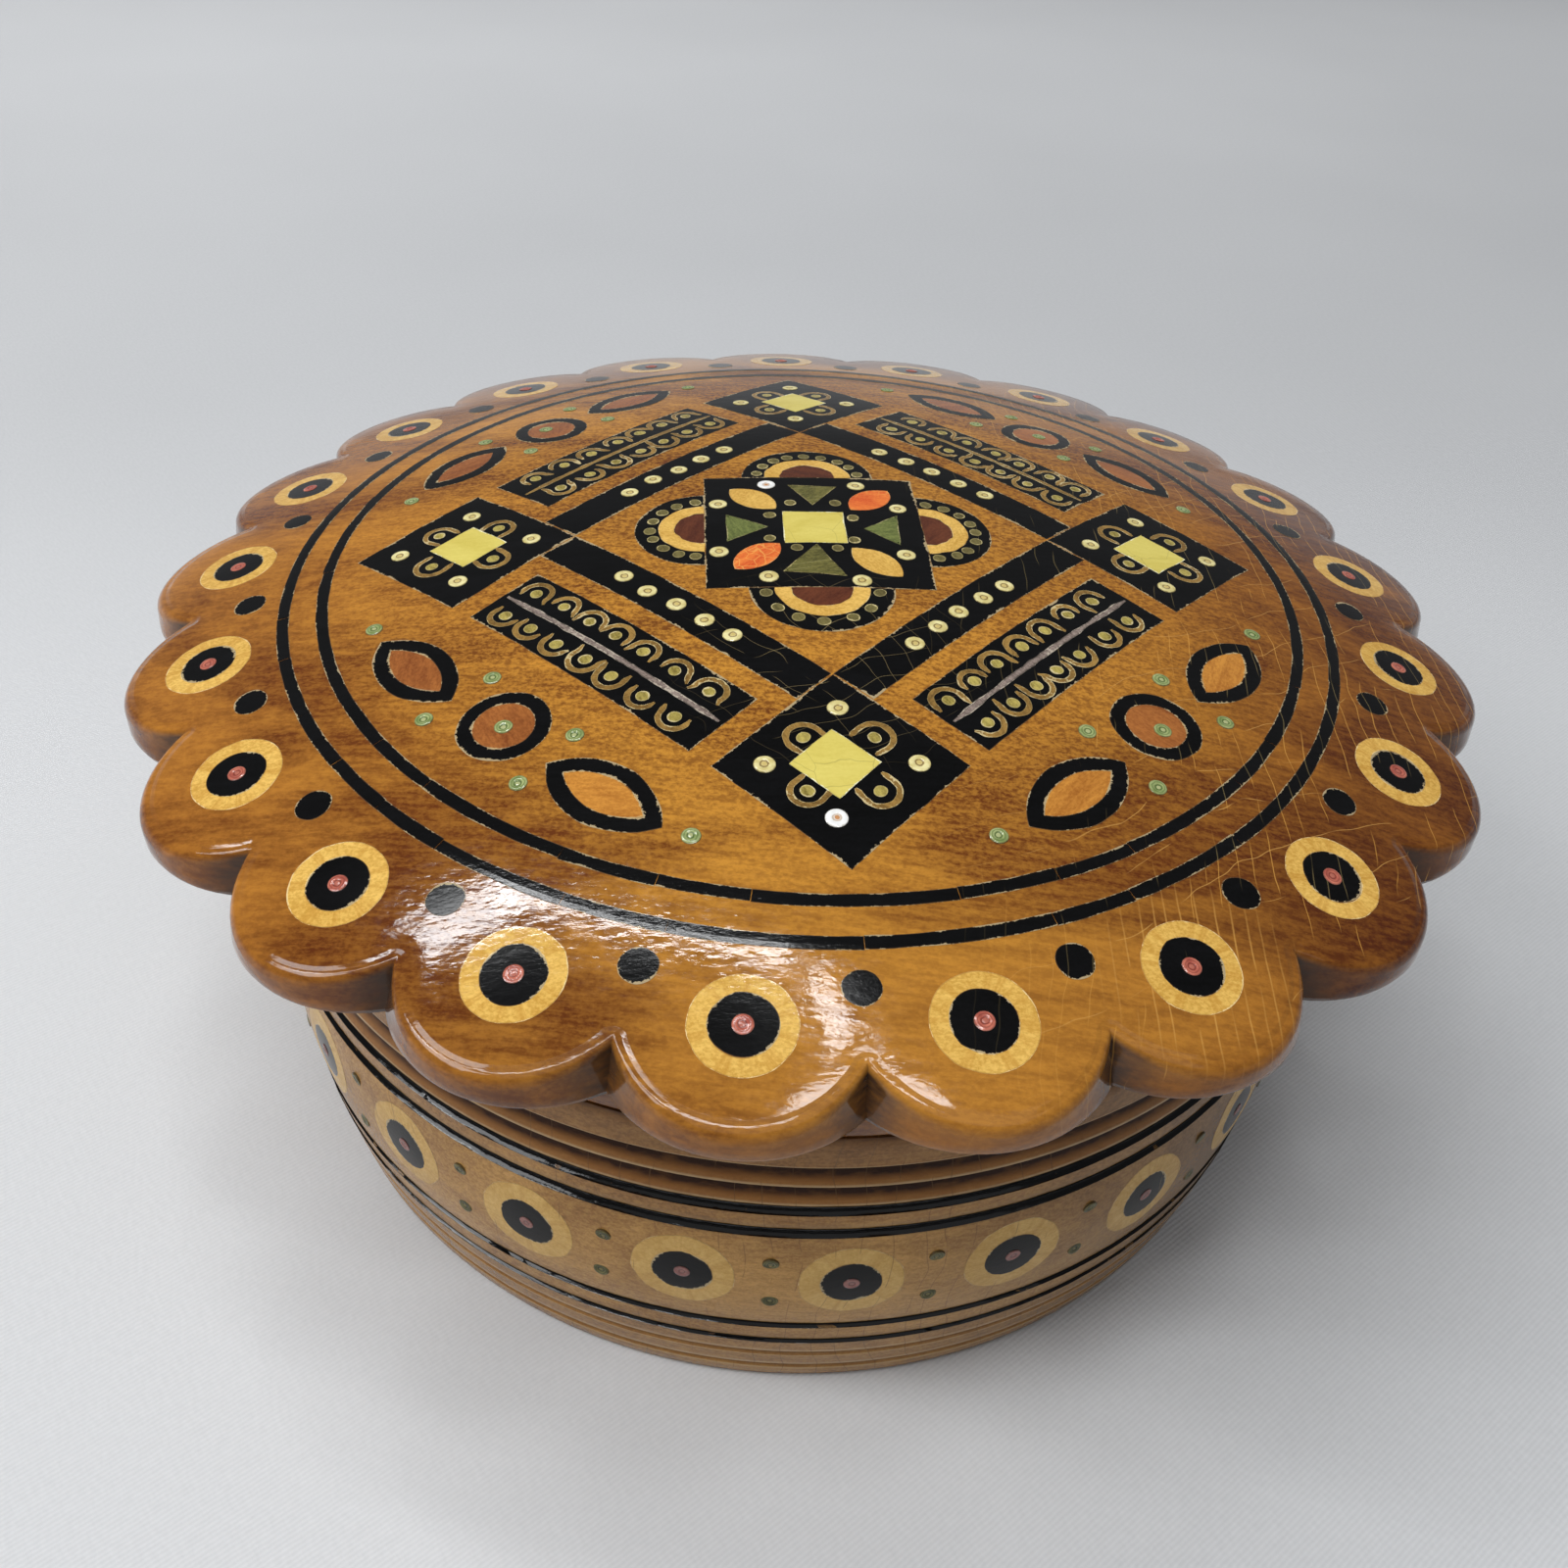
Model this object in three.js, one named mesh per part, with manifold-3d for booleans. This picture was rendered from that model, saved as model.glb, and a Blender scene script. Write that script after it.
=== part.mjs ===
// A round turned box with a scalloped, domed lid that lifts off. The lid is inlaid with black and
// yellow wood, and every inlay lies in a bed of its own, flush with the dome.
// Millimetres, +Z up, -Y towards the viewer. The origin is the middle of the foot's underside.

import * as THREE from 'three';
import { mergeVertices } from 'three/addons/utils/BufferGeometryUtils.js';
import Module from 'manifold-3d';

const wasm = await Module();
wasm.setup();

// Base: turned wall, foot and collar
const bellyRadius = 68.25;
const bellyBulge = 0.75; // how far the inlaid band swells past its own edges
const shoulderTaper = 0.7; // from the band's upper edge in to the seam
const footTaper = 2.3; // from the band's lower edge in to the foot
const seamHeight = 46.6; // where the lid sits on the shoulder
const wallThickness = 6.8;
const floorThickness = 7;
const bowlCornerRadius = 6;
const collarHeight = 5; // the collar that keeps the lid in place
const collarThickness = 3;
const footCurve = 1.4; // power of the wall's turn in to the foot
const footEdge = 0.7; // small bevel where the foot meets the table
const seamEdge = 0.5; // bevels that show as the dark seam

// Turned grooves of the base. The land is the wall left above an upper groove or below a lower one.
const shoulderLand = 4.4;
const scorchedWidth = 2.9;
const scorchedDepth = 0.9;
const upperBlackLand = 2.1;
const upperBlackWidth = 1.5;
const upperBlackDepth = 0.7;
const footLand = 2.9;
const footGrooveWidth = 1.1;
const footGrooveDepth = 0.5;
const lowerLand = 2.7;
const lowerBlackWidth = 1.05;
const lowerBlackDepth = 0.55;
const grooveLip = 0.3; // share of a groove's width taken by the lip over it

// Lid: dome, scalloped flange, skirt and hollow
const domeRadius = 270;
const crownRise = 15.35; // crown above the flange's underside
const crownThickness = 9;
const ceilingCurve = 1.6; // turn from the ceiling into the hollow's wall
const skirtHeight = 13.25; // seam to the flange's underside
const collarClearance = 0.4; // round the collar, and above it
const lidOverhang = 13.2; // scallop tips past the shoulder
const scallopCount = 21;
const scallopDepth = 6.5; // tip to cusp on the upper edge
const cuspFlare = 1.6; // the cusps are cut shallower at the underside
const rimRounding = 1.6;
const rimUnderEdge = 0.7;

// Inlay
const inlayThickness = 2.4;
const tileThickness = 1.2;
const glueGap = 0.3; // round and under every inlay
const rimRoundelRadius = 4.97;
const rimRoundelThickness = 2;
const rimMargin = 10; // roundel centres in from the scallop tips
const roundelToLine = 8.3; // roundel centres to the outer line
const lineSpacing = 4.4;
const lineWidth = 1.1;
const frameInner = 20; // middle of the lid to the bars of the diamond
const barWidth = 5.45;
const stripWidth = 2.8; // bare wood between a bar and its panel
const stripEnd = 3; // bare wood between a panel and the corner squares
const cornerMargin = 2.75; // tip of a corner square to the inner line
const squareMargin = 1.15; // side of the middle square in from the frame's point
const halfRoundelRadius = 8.25;
const middleTileSide = 7.4;
const cornerTileSide = 6.5;
const almondLength = 14.7;
const almondWidth = 7.7;
const almondBand = 1.8;
const almondTurn = 6.5; // degrees that an almond leans towards the rim
const almondGap = 2.4; // almond to the ring beside it
const fieldRingRadius = 4.9;
const fieldRingBand = 1.7;

// Facets
const turnedSteps = 2 * scallopCount; // divides evenly into the scallops' points
const scallopSteps = 6;
const bedSteps = 24;
const roundelSteps = 16;
const arcSteps = 5; // drawn arcs get twice as many straight pieces
const cornerSteps = 3;
const quarter = Math.PI / 2;
const diagonal = quarter / 2;
const axisStart = -quarter;

const upperGrooves = [
  { land: shoulderLand, width: scorchedWidth, depth: scorchedDepth },
  { land: 0, width: scorchedWidth, depth: scorchedDepth },
  { land: 0, width: upperBlackWidth, depth: upperBlackDepth },
  { land: upperBlackLand, width: upperBlackWidth, depth: upperBlackDepth },
];
const lowerGrooves = [
  { land: footLand, width: footGrooveWidth, depth: footGrooveDepth },
  { land: lowerLand, width: footGrooveWidth, depth: footGrooveDepth },
  { land: lowerLand, width: lowerBlackWidth, depth: lowerBlackDepth },
  { land: lowerLand, width: lowerBlackWidth, depth: lowerBlackDepth },
];

// Sizes that follow
const grooveRun = (grooves) => grooves.reduce((run, { land, width }) => run + land + width, 0);
const bellyTop = seamHeight - grooveRun(upperGrooves);
const bellyBottom = grooveRun(lowerGrooves);
const bandEdgeRadius = bellyRadius - bellyBulge;
const shoulderRadius = bandEdgeRadius - shoulderTaper;
const footRadius = bandEdgeRadius - footTaper;
const bowlRadius = shoulderRadius - wallThickness;
const collarRadius = bowlRadius + collarThickness;
const flangeHeight = seamHeight + skirtHeight;
const crownHeight = flangeHeight + crownRise;
const tipRadius = shoulderRadius + lidOverhang;
const roundelCircle = tipRadius - rimMargin;
const outerLineRadius = roundelCircle - roundelToLine;
const innerLineRadius = outerLineRadius - lineSpacing;
const cornerReach = innerLineRadius - lineWidth / 2 - cornerMargin;
const cornerSide = cornerReach / Math.SQRT2 - frameInner;
const frameOuter = frameInner + cornerSide;
const panelInner = frameInner + barWidth + stripWidth;
const panelLength = 2 * (frameInner - stripEnd);
const middleHalf = frameInner / Math.SQRT2 - squareMargin;
const fieldCentre = (frameOuter + innerLineRadius - lineWidth / 2) / 2;
const almondOffset = fieldRingRadius + almondGap + almondLength / 2;

const crownCircles = [bowlRadius / 3, (2 * bowlRadius) / 3];

const domeHeight = (r) => crownHeight - domeRadius + Math.sqrt(domeRadius ** 2 - r ** 2);

// Solids and geometry

function welded(geometry) {
  geometry.deleteAttribute('uv');
  geometry.deleteAttribute('normal');
  const merged = mergeVertices(geometry, 1e-4);
  const index = merged.index.array;
  const kept = [];
  for (let i = 0; i < index.length; i += 3) {
    const [a, b, c] = [index[i], index[i + 1], index[i + 2]];
    if (a !== b && b !== c && c !== a) kept.push(a, b, c);
  }
  merged.setIndex(kept);
  return merged;
}

function toSolid(geometry) {
  const { index, attributes } = welded(geometry.clone());
  return new wasm.Manifold(new wasm.Mesh({
    numProp: 3,
    vertProperties: Float32Array.from(attributes.position.array),
    triVerts: Uint32Array.from(index.array),
  }));
}

function toGeometry(solid) {
  const mesh = solid.getMesh();
  const geometry = new THREE.BufferGeometry();
  geometry.setAttribute('position', new THREE.BufferAttribute(Float32Array.from(mesh.vertProperties), 3));
  geometry.setIndex(Array.from(mesh.triVerts));
  geometry.computeVertexNormals();
  return geometry;
}

// A profile of [radius, height] points, from its lower end up its outside, turned about Z.
function turned(profile, steps = turnedSteps) {
  const points = profile.map(([r, z]) => new THREE.Vector2(r, z));
  const geometry = new THREE.LatheGeometry(points, steps);
  geometry.rotateX(Math.PI / 2);
  return welded(geometry);
}

function prism(shape, low, high) {
  const geometry = new THREE.ExtrudeGeometry(shape, {
    depth: high - low,
    bevelEnabled: false,
    curveSegments: arcSteps,
  });
  return geometry.translate(0, 0, low);
}

// Skin of the dome between two depths under its surface.
function domeSkin(depthTop, depthBottom) {
  const radii = [0, ...crownCircles, bowlRadius];
  const under = radii.map((r) => [r, domeHeight(r) - depthBottom]);
  const over = radii.map((r) => [r, domeHeight(r) - depthTop]).reverse();
  return turned([...under, ...over], bedSteps);
}

// Outlines

function rectangle(width, height) {
  const shape = new THREE.Shape();
  shape.moveTo(-width / 2, -height / 2);
  shape.lineTo(width / 2, -height / 2);
  shape.lineTo(width / 2, height / 2);
  shape.lineTo(-width / 2, height / 2);
  shape.closePath();
  return shape;
}

// Half a disc whose flat side faces the middle of the lid.
function halfRoundelShape(grown) {
  const radius = halfRoundelRadius + grown;
  const shape = new THREE.Shape();
  shape.absarc(0, 0, radius, -Math.PI / 2, Math.PI / 2, false);
  shape.lineTo(-grown, radius);
  shape.lineTo(-grown, -radius);
  shape.closePath();
  return shape;
}

// Two arcs that meet in points at the ends of the Y axis, all grown by the same amount.
function addAlmond(path, length, width, grown) {
  const radius = (length ** 2 + width ** 2) / (4 * width);
  const centre = radius - width / 2;
  const reach = Math.acos(centre / (radius + grown));
  path.absarc(-centre, 0, radius + grown, -reach, reach, false);
  path.absarc(centre, 0, radius + grown, Math.PI - reach, Math.PI + reach, false);
  path.closePath();
  return path;
}

function almondShape(grown) {
  const shape = addAlmond(new THREE.Shape(), almondLength, almondWidth, grown);
  shape.holes.push(addAlmond(new THREE.Path(), almondLength, almondWidth, -almondBand - grown));
  return shape;
}

function ringShape(grown) {
  const shape = new THREE.Shape();
  shape.absarc(0, 0, fieldRingRadius + grown, 0, 2 * Math.PI, false);
  const hole = new THREE.Path();
  hole.absarc(0, 0, fieldRingRadius - fieldRingBand - grown, 0, 2 * Math.PI, true);
  shape.holes.push(hole);
  return shape;
}

// Base

function wallRadius(z) {
  if (z >= bellyTop) {
    return THREE.MathUtils.mapLinear(z, bellyTop, seamHeight, bandEdgeRadius, shoulderRadius);
  }
  if (z >= bellyBottom) {
    const across = THREE.MathUtils.mapLinear(z, bellyBottom, bellyTop, -1, 1);
    return bandEdgeRadius + bellyBulge * (1 - across ** 2);
  }
  return bandEdgeRadius - footTaper * (1 - z / bellyBottom) ** footCurve;
}

// An undercut lip with a slope that runs back out below it, from its foot up.
function groove(bottom, { width, depth }) {
  const top = bottom + width;
  return [
    [wallRadius(bottom), bottom],
    [wallRadius(top) - depth, top - grooveLip * width],
    [wallRadius(top), top],
  ];
}

function lowerWall() {
  let z = 0;
  return lowerGrooves.flatMap((cut) => {
    const points = groove(z + cut.land, cut);
    z += cut.land + cut.width;
    return points;
  });
}

function upperWall() {
  let z = bellyTop;
  return upperGrooves.toReversed().flatMap((cut) => {
    const points = groove(z, cut);
    z += cut.width + cut.land;
    return points;
  });
}

function baseGeometry() {
  const belly = [0.25, 0.5, 0.75].map((share) => {
    const z = THREE.MathUtils.lerp(bellyBottom, bellyTop, share);
    return [wallRadius(z), z];
  });
  const corner = Array.from({ length: cornerSteps + 1 }, (_, step) => {
    const angle = (step / cornerSteps) * quarter;
    return [
      bowlRadius - bowlCornerRadius * (1 - Math.cos(angle)),
      floorThickness + bowlCornerRadius * (1 - Math.sin(angle)),
    ];
  });
  return turned([
    [0, 0],
    [footRadius - footEdge, 0],
    [footRadius, footEdge],
    ...lowerWall(),
    ...belly,
    ...upperWall(),
    [shoulderRadius, seamHeight - seamEdge],
    [shoulderRadius - seamEdge, seamHeight],
    [collarRadius, seamHeight],
    [collarRadius, seamHeight + collarHeight],
    [bowlRadius, seamHeight + collarHeight],
    ...corner,
    [0, floorThickness],
  ]);
}

// Lid

function circle(radius, z, count = turnedSteps) {
  return Array.from({ length: count }, (_, i) => {
    const angle = axisStart + (2 * Math.PI * i) / count;
    return [radius * Math.cos(angle), radius * Math.sin(angle), z];
  });
}

// The scalloped outline through given tip and cusp radii, with the height as a function of radius.
function scallops(tip, cusp, height) {
  const half = Math.PI / scallopCount;
  const halfChord = cusp * Math.sin(half);
  const rise = tip - cusp * Math.cos(half);
  const radius = (halfChord ** 2 + rise ** 2) / (2 * rise);
  const centre = tip - radius;
  const reach = Math.atan2(halfChord, cusp * Math.cos(half) - centre);
  const ring = [];
  for (let lobe = 0; lobe < scallopCount; lobe += 1) {
    const turn = axisStart + (2 * lobe + 1) * half;
    for (let step = 0; step < scallopSteps; step += 1) {
      const angle = reach * ((2 * step) / scallopSteps - 1);
      const out = centre + radius * Math.cos(angle);
      const side = radius * Math.sin(angle);
      const x = out * Math.cos(turn) - side * Math.sin(turn);
      const y = out * Math.sin(turn) + side * Math.cos(turn);
      ring.push([x, y, height(Math.hypot(x, y))]);
    }
  }
  return ring;
}

// A closed skin through rings of points, from the middle of the upper side round to the middle of the
// lower one. Rings may differ in count where one count divides the other.
function loft(rings) {
  const starts = [];
  const vertices = [];
  for (const ring of rings) {
    starts.push(vertices.length);
    vertices.push(...ring);
  }
  const faces = [];
  for (let k = 0; k + 1 < rings.length; k += 1) {
    const inner = rings[k].length;
    const outer = rings[k + 1].length;
    const steps = Math.max(inner, outer);
    const at = (start, count, step) => start + (Math.floor((step * count) / steps) % count);
    for (let step = 0; step < steps; step += 1) {
      const a0 = at(starts[k], inner, step);
      const a1 = at(starts[k], inner, step + 1);
      const b0 = at(starts[k + 1], outer, step);
      const b1 = at(starts[k + 1], outer, step + 1);
      if (b0 !== b1) faces.push(a0, b0, b1);
      if (a0 !== a1) faces.push(a0, b1, a1);
    }
  }
  const geometry = new THREE.BufferGeometry();
  geometry.setAttribute('position', new THREE.Float32BufferAttribute(vertices.flat(), 3));
  geometry.setIndex(faces);
  return geometry;
}

const lineDepth = inlayThickness + glueGap;

function lineGroove(radius) {
  const inside = radius - lineWidth / 2 - glueGap;
  const outside = radius + lineWidth / 2 + glueGap;
  return [
    circle(inside, domeHeight(inside)),
    circle(inside, domeHeight(radius) - lineDepth),
    circle(outside, domeHeight(radius) - lineDepth),
    circle(outside, domeHeight(outside)),
  ];
}

function lidBlank() {
  const cusp = tipRadius - scallopDepth;
  const edge = [quarter, diagonal, 0].map((angle) => {
    const inset = rimRounding * (1 - Math.cos(angle));
    const drop = rimRounding * (1 - Math.sin(angle));
    return scallops(tipRadius - inset, cusp - inset, (r) => domeHeight(r + inset - rimRounding) - drop);
  });
  const rabbetRadius = collarRadius + collarClearance;
  const rabbetTop = seamHeight + collarHeight + collarClearance;
  const ceilingEdge = bowlRadius - bowlCornerRadius;
  const ceiling = [ceilingEdge, ...crownCircles.toReversed()].map((r) => (
    circle(r, domeHeight(r) - crownThickness)
  ));
  return loft([
    [[0, 0, crownHeight]],
    ...crownCircles.map((r) => circle(r, domeHeight(r))),
    ...lineGroove(innerLineRadius),
    ...lineGroove(outerLineRadius),
    ...edge,
    scallops(tipRadius, cusp + cuspFlare, () => flangeHeight + rimUnderEdge),
    scallops(tipRadius - rimUnderEdge, cusp + cuspFlare - rimUnderEdge, () => flangeHeight),
    circle(shoulderRadius, flangeHeight),
    circle(shoulderRadius, seamHeight + seamEdge),
    circle(shoulderRadius - seamEdge, seamHeight),
    circle(rabbetRadius, seamHeight),
    circle(rabbetRadius, rabbetTop),
    circle(bowlRadius, rabbetTop),
    circle(bowlRadius, domeHeight(bowlRadius) - crownThickness - ceilingCurve),
    ...ceiling,
    [[0, 0, crownHeight - crownThickness]],
  ]);
}

// Inlays of the field. Each has one outline, drawn again with the glue gap for its bed, and copies
// turned about the middle of the lid.

const low = crownHeight - domeRadius / 4;
const high = crownHeight + inlayThickness;
const inlaySkin = toSolid(domeSkin(0, inlayThickness));
const bedSkin = toSolid(domeSkin(-inlayThickness, inlayThickness + glueGap));
const tileSkin = toSolid(domeSkin(0, tileThickness));
const tileBedSkin = toSolid(domeSkin(-inlayThickness, tileThickness + glueGap));

// Lays a prism out from the middle along +X, aside along +Y, and turned about its own middle.
function laid(geometry, { out = 0, aside = 0, turn = 0 }) {
  geometry.rotateZ(turn);
  return geometry.translate(out, aside, 0);
}

function drawn(shapeOf, place, skin, grown) {
  return toSolid(laid(prism(shapeOf(grown), low, high), place)).intersect(skin);
}

const fieldInlays = [];

function addInlay({ name, shapeOf, place, angles, material, tile = null, tiled = false }) {
  let solid = drawn(shapeOf, place, tiled ? tileSkin : inlaySkin, 0);
  if (tile) solid = solid.subtract(drawn(tile, place, tileBedSkin, glueGap));
  const bed = tiled ? null : toGeometry(drawn(shapeOf, place, bedSkin, glueGap));
  fieldInlays.push({ name, geometry: toGeometry(solid), bed, angles, material });
}

const leaning = THREE.MathUtils.degToRad(almondTurn);
const around = (first) => [0, 1, 2, 3].map((k) => first + quarter * k);
const squareShape = (side) => (grown) => rectangle(side + 2 * grown, side + 2 * grown);

// Materials

const finish = (color, roughness) => ({ color, roughness, metalness: 0 });
const lidWood = finish(0xa8682a, 0.3);
const baseWood = finish(0xa17c4f, 0.4);
const blackWood = finish(0x0e0d0d, 0.35);
const yellowWood = finish(0xe0a848, 0.4);
const lemonTile = finish(0xdccb66, 0.4);

addInlay({
  name: 'middle_square',
  shapeOf: squareShape(2 * middleHalf),
  place: {},
  angles: [0],
  material: blackWood,
  tile: squareShape(middleTileSide),
});
addInlay({
  name: 'half_roundel',
  shapeOf: halfRoundelShape,
  place: { out: middleHalf + glueGap },
  angles: around(-quarter),
  material: blackWood,
});
addInlay({
  name: 'frame_bar',
  shapeOf: (grown) => rectangle(barWidth + 2 * grown, 2 * (frameInner - glueGap + grown)),
  place: { out: frameInner + barWidth / 2 },
  angles: around(-diagonal),
  material: blackWood,
});
addInlay({
  name: 'corner_square',
  shapeOf: squareShape(cornerSide),
  place: { out: Math.SQRT2 * (frameInner + cornerSide / 2), turn: diagonal },
  angles: around(-quarter),
  material: blackWood,
  tile: squareShape(cornerTileSide),
});
addInlay({
  name: 'loop_panel',
  shapeOf: (grown) => rectangle(frameOuter - panelInner + 2 * grown, panelLength + 2 * grown),
  place: { out: (panelInner + frameOuter) / 2 },
  angles: around(-diagonal),
  material: blackWood,
});
addInlay({
  name: 'field_ring',
  shapeOf: ringShape,
  place: { out: fieldCentre },
  angles: around(-diagonal),
  material: blackWood,
});
for (const [name, hand] of [['almond_left', -1], ['almond_right', 1]]) {
  addInlay({
    name,
    shapeOf: almondShape,
    place: { out: fieldCentre, aside: hand * almondOffset, turn: hand * leaning },
    angles: around(-diagonal),
    material: blackWood,
  });
}
addInlay({
  name: 'middle_tile',
  shapeOf: squareShape(middleTileSide),
  place: {},
  angles: [0],
  material: lemonTile,
  tiled: true,
});
addInlay({
  name: 'corner_tile',
  shapeOf: squareShape(cornerTileSide),
  place: { out: Math.SQRT2 * (frameInner + cornerSide / 2), turn: diagonal },
  angles: around(-quarter),
  material: lemonTile,
  tiled: true,
});

// Rim roundels stand square to the dome.

const rimTilt = Math.asin(roundelCircle / domeRadius);

function roundelCylinder(radius, under, over) {
  const geometry = new THREE.CylinderGeometry(radius, radius, under + over, roundelSteps);
  geometry.rotateX(Math.PI / 2);
  return geometry.translate(0, 0, (over - under) / 2);
}

function roundelBed(angle) {
  const geometry = roundelCylinder(rimRoundelRadius + glueGap, rimRoundelThickness + glueGap, rimRoundelThickness);
  geometry.rotateY(rimTilt).translate(roundelCircle, 0, domeHeight(roundelCircle)).rotateZ(angle);
  return toSolid(geometry);
}

// Assembly

const coffer = new THREE.Group();

function add(name, geometry, material, parent = coffer) {
  const mesh = new THREE.Mesh(geometry, new THREE.MeshStandardMaterial(material));
  mesh.name = name;
  parent.add(mesh);
  return mesh;
}

const scallopAngles = Array.from(
  { length: scallopCount },
  (_, k) => axisStart + ((2 * k + 1) * Math.PI) / scallopCount,
);

const beds = scallopAngles.map(roundelBed);
for (const { bed, angles } of fieldInlays) {
  for (const angle of bed ? angles : []) {
    beds.push(toSolid(bed.clone().rotateZ(angle)));
  }
}
const lidSolid = beds.reduce((solid, bed) => solid.subtract(bed), toSolid(lidBlank()));

add('base', baseGeometry(), baseWood);
add('lid', toGeometry(lidSolid), lidWood);

for (const [name, radius] of [['inner_line', innerLineRadius], ['outer_line', outerLineRadius]]) {
  const inside = radius - lineWidth / 2;
  const outside = radius + lineWidth / 2;
  const bottom = domeHeight(radius) - inlayThickness;
  const profile = [
    [inside, bottom],
    [outside, bottom],
    [outside, domeHeight(outside)],
    [inside, domeHeight(inside)],
    [inside, bottom],
  ];
  add(name, turned(profile), blackWood);
}

for (const { name, geometry, angles, material } of fieldInlays) {
  angles.forEach((angle, k) => {
    const mesh = add(angles.length > 1 ? `${name}_${k + 1}` : name, geometry, material);
    mesh.rotation.z = angle;
  });
}

scallopAngles.forEach((angle, k) => {
  const spoke = new THREE.Group();
  spoke.rotation.z = angle;
  coffer.add(spoke);
  const geometry = roundelCylinder(rimRoundelRadius, rimRoundelThickness, 0);
  const mesh = add(`rim_roundel_${String(k + 1).padStart(2, '0')}`, geometry, yellowWood, spoke);
  mesh.position.set(roundelCircle, 0, domeHeight(roundelCircle));
  mesh.rotation.y = rimTilt;
});

export default coffer;
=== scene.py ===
import math
import random

import bpy
from mathutils import Matrix, Vector, noise


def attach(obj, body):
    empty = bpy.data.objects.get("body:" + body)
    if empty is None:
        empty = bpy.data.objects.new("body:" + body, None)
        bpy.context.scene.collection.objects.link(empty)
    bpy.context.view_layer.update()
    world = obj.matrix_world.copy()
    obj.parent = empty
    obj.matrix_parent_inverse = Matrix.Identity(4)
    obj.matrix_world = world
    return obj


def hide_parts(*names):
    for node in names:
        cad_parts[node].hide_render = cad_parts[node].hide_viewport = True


# Sizes are in millimetres and become metres when a mesh is made.

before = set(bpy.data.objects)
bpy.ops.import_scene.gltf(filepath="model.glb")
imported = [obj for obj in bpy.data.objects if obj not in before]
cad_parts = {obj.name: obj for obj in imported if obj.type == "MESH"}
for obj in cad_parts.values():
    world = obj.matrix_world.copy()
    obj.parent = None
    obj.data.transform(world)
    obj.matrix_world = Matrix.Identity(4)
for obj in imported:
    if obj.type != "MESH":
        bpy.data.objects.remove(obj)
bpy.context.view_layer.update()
scene = bpy.context.scene
scene.view_settings.view_transform = "Standard"
noise.seed_set(5)    # without it vector noise starts from the clock
mm = 0.001
quarterTurn, fullTurn = math.pi / 2, 2 * math.pi
print("frame: loaded", len(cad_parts), "nodes")


# Small tools for node trees

class Signal:
    # One output of a node, which takes part in sums like a number

    def __init__(self, socket):
        self.socket = socket
        self.tree = socket.id_data

    def __add__(self, other):
        return calc("ADD", self, other)

    def __sub__(self, other):
        return calc("SUBTRACT", self, other)

    def __rsub__(self, other):
        return calc("SUBTRACT", other, self)

    def __mul__(self, other):
        return calc("MULTIPLY", self, other)

    def __truediv__(self, other):
        return calc("DIVIDE", self, other)

    def __rtruediv__(self, other):
        return calc("DIVIDE", other, self)


def feed(value, socket):
    if isinstance(value, Signal):
        value.tree.links.new(value.socket, socket)
    else:
        socket.default_value = (*value, 1) if socket.type == "RGBA" else value


def addNode(tree, kind, inputs=None, **settings):
    made = tree.nodes.new(kind)
    for key, value in settings.items():
        setattr(made, key, value)
    for key, value in (inputs or {}).items():
        feed(value, made.inputs[key])
    return made


def signal(tree, kind, inputs=None, output=0, **settings):
    return Signal(addNode(tree, kind, inputs, **settings).outputs[output])


def calc(operation, *values):
    tree = next(value.tree for value in values if isinstance(value, Signal))
    return signal(tree, "ShaderNodeMath", dict(enumerate(values)), operation=operation)


def vectorCalc(operation, vector, other=None, output=0):
    inputs = {0: vector} if other is None else {0: vector, 1: other}
    return signal(vector.tree, "ShaderNodeVectorMath", inputs, output, operation=operation)


def mixColour(factor, first, second, mode="MIX"):
    return signal(factor.tree, "ShaderNodeMix", {0: factor, 6: first, 7: second}, 2,
                  data_type="RGBA", blend_type=mode)


def ramp(value, low, high, toLow=0.0, toHigh=1.0, smooth=False):
    return signal(value.tree, "ShaderNodeMapRange", dict(enumerate((value, low, high, toLow, toHigh))),
                  interpolation_type="SMOOTHSTEP" if smooth else "LINEAR")


def speckle(vector, scale, detail=2.0, roughness=0.5, distortion=0.0):
    return signal(vector.tree, "ShaderNodeTexNoise", {
        "Vector": vector, "Scale": scale, "Detail": detail, "Roughness": roughness, "Distortion": distortion,
    })


def stretched(vector, *scale):
    return vectorCalc("MULTIPLY", vector, scale)


def mapped(vector, turn=0, shift=0, scale=1):
    return signal(vector.tree, "ShaderNodeMapping", {
        "Vector": vector, "Location": (shift, 0, 0), "Rotation": (0, 0, math.radians(turn)),
        "Scale": (scale, scale, scale),
    })


def split(vector):
    return [Signal(socket) for socket in addNode(vector.tree, "ShaderNodeSeparateXYZ", {0: vector}).outputs]


def attribute(tree, name, output="Fac"):
    return signal(tree, "ShaderNodeAttribute", None, output, attribute_name=name)


def length(a, b):
    return calc("SQRT", a * a + b * b)


def newGroup(name, kind, inputs, outputs):    # an input is given by its first number or its sort
    group = bpy.data.node_groups.new(name, kind)
    for label, start in inputs.items():
        number = {int: "NodeSocketInt", float: "NodeSocketFloat"}.get(type(start))
        socket = group.interface.new_socket(label, socket_type=number or "NodeSocket" + start)
        if number:
            socket.default_value = start
    for label, sort in outputs.items():
        group.interface.new_socket(label, in_out="OUTPUT", socket_type="NodeSocket" + sort)
    given = {socket.name: Signal(socket) for socket in group.nodes.new("NodeGroupInput").outputs}
    return group, given, group.nodes.new("NodeGroupOutput").inputs


# Effects that several finishes share

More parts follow.
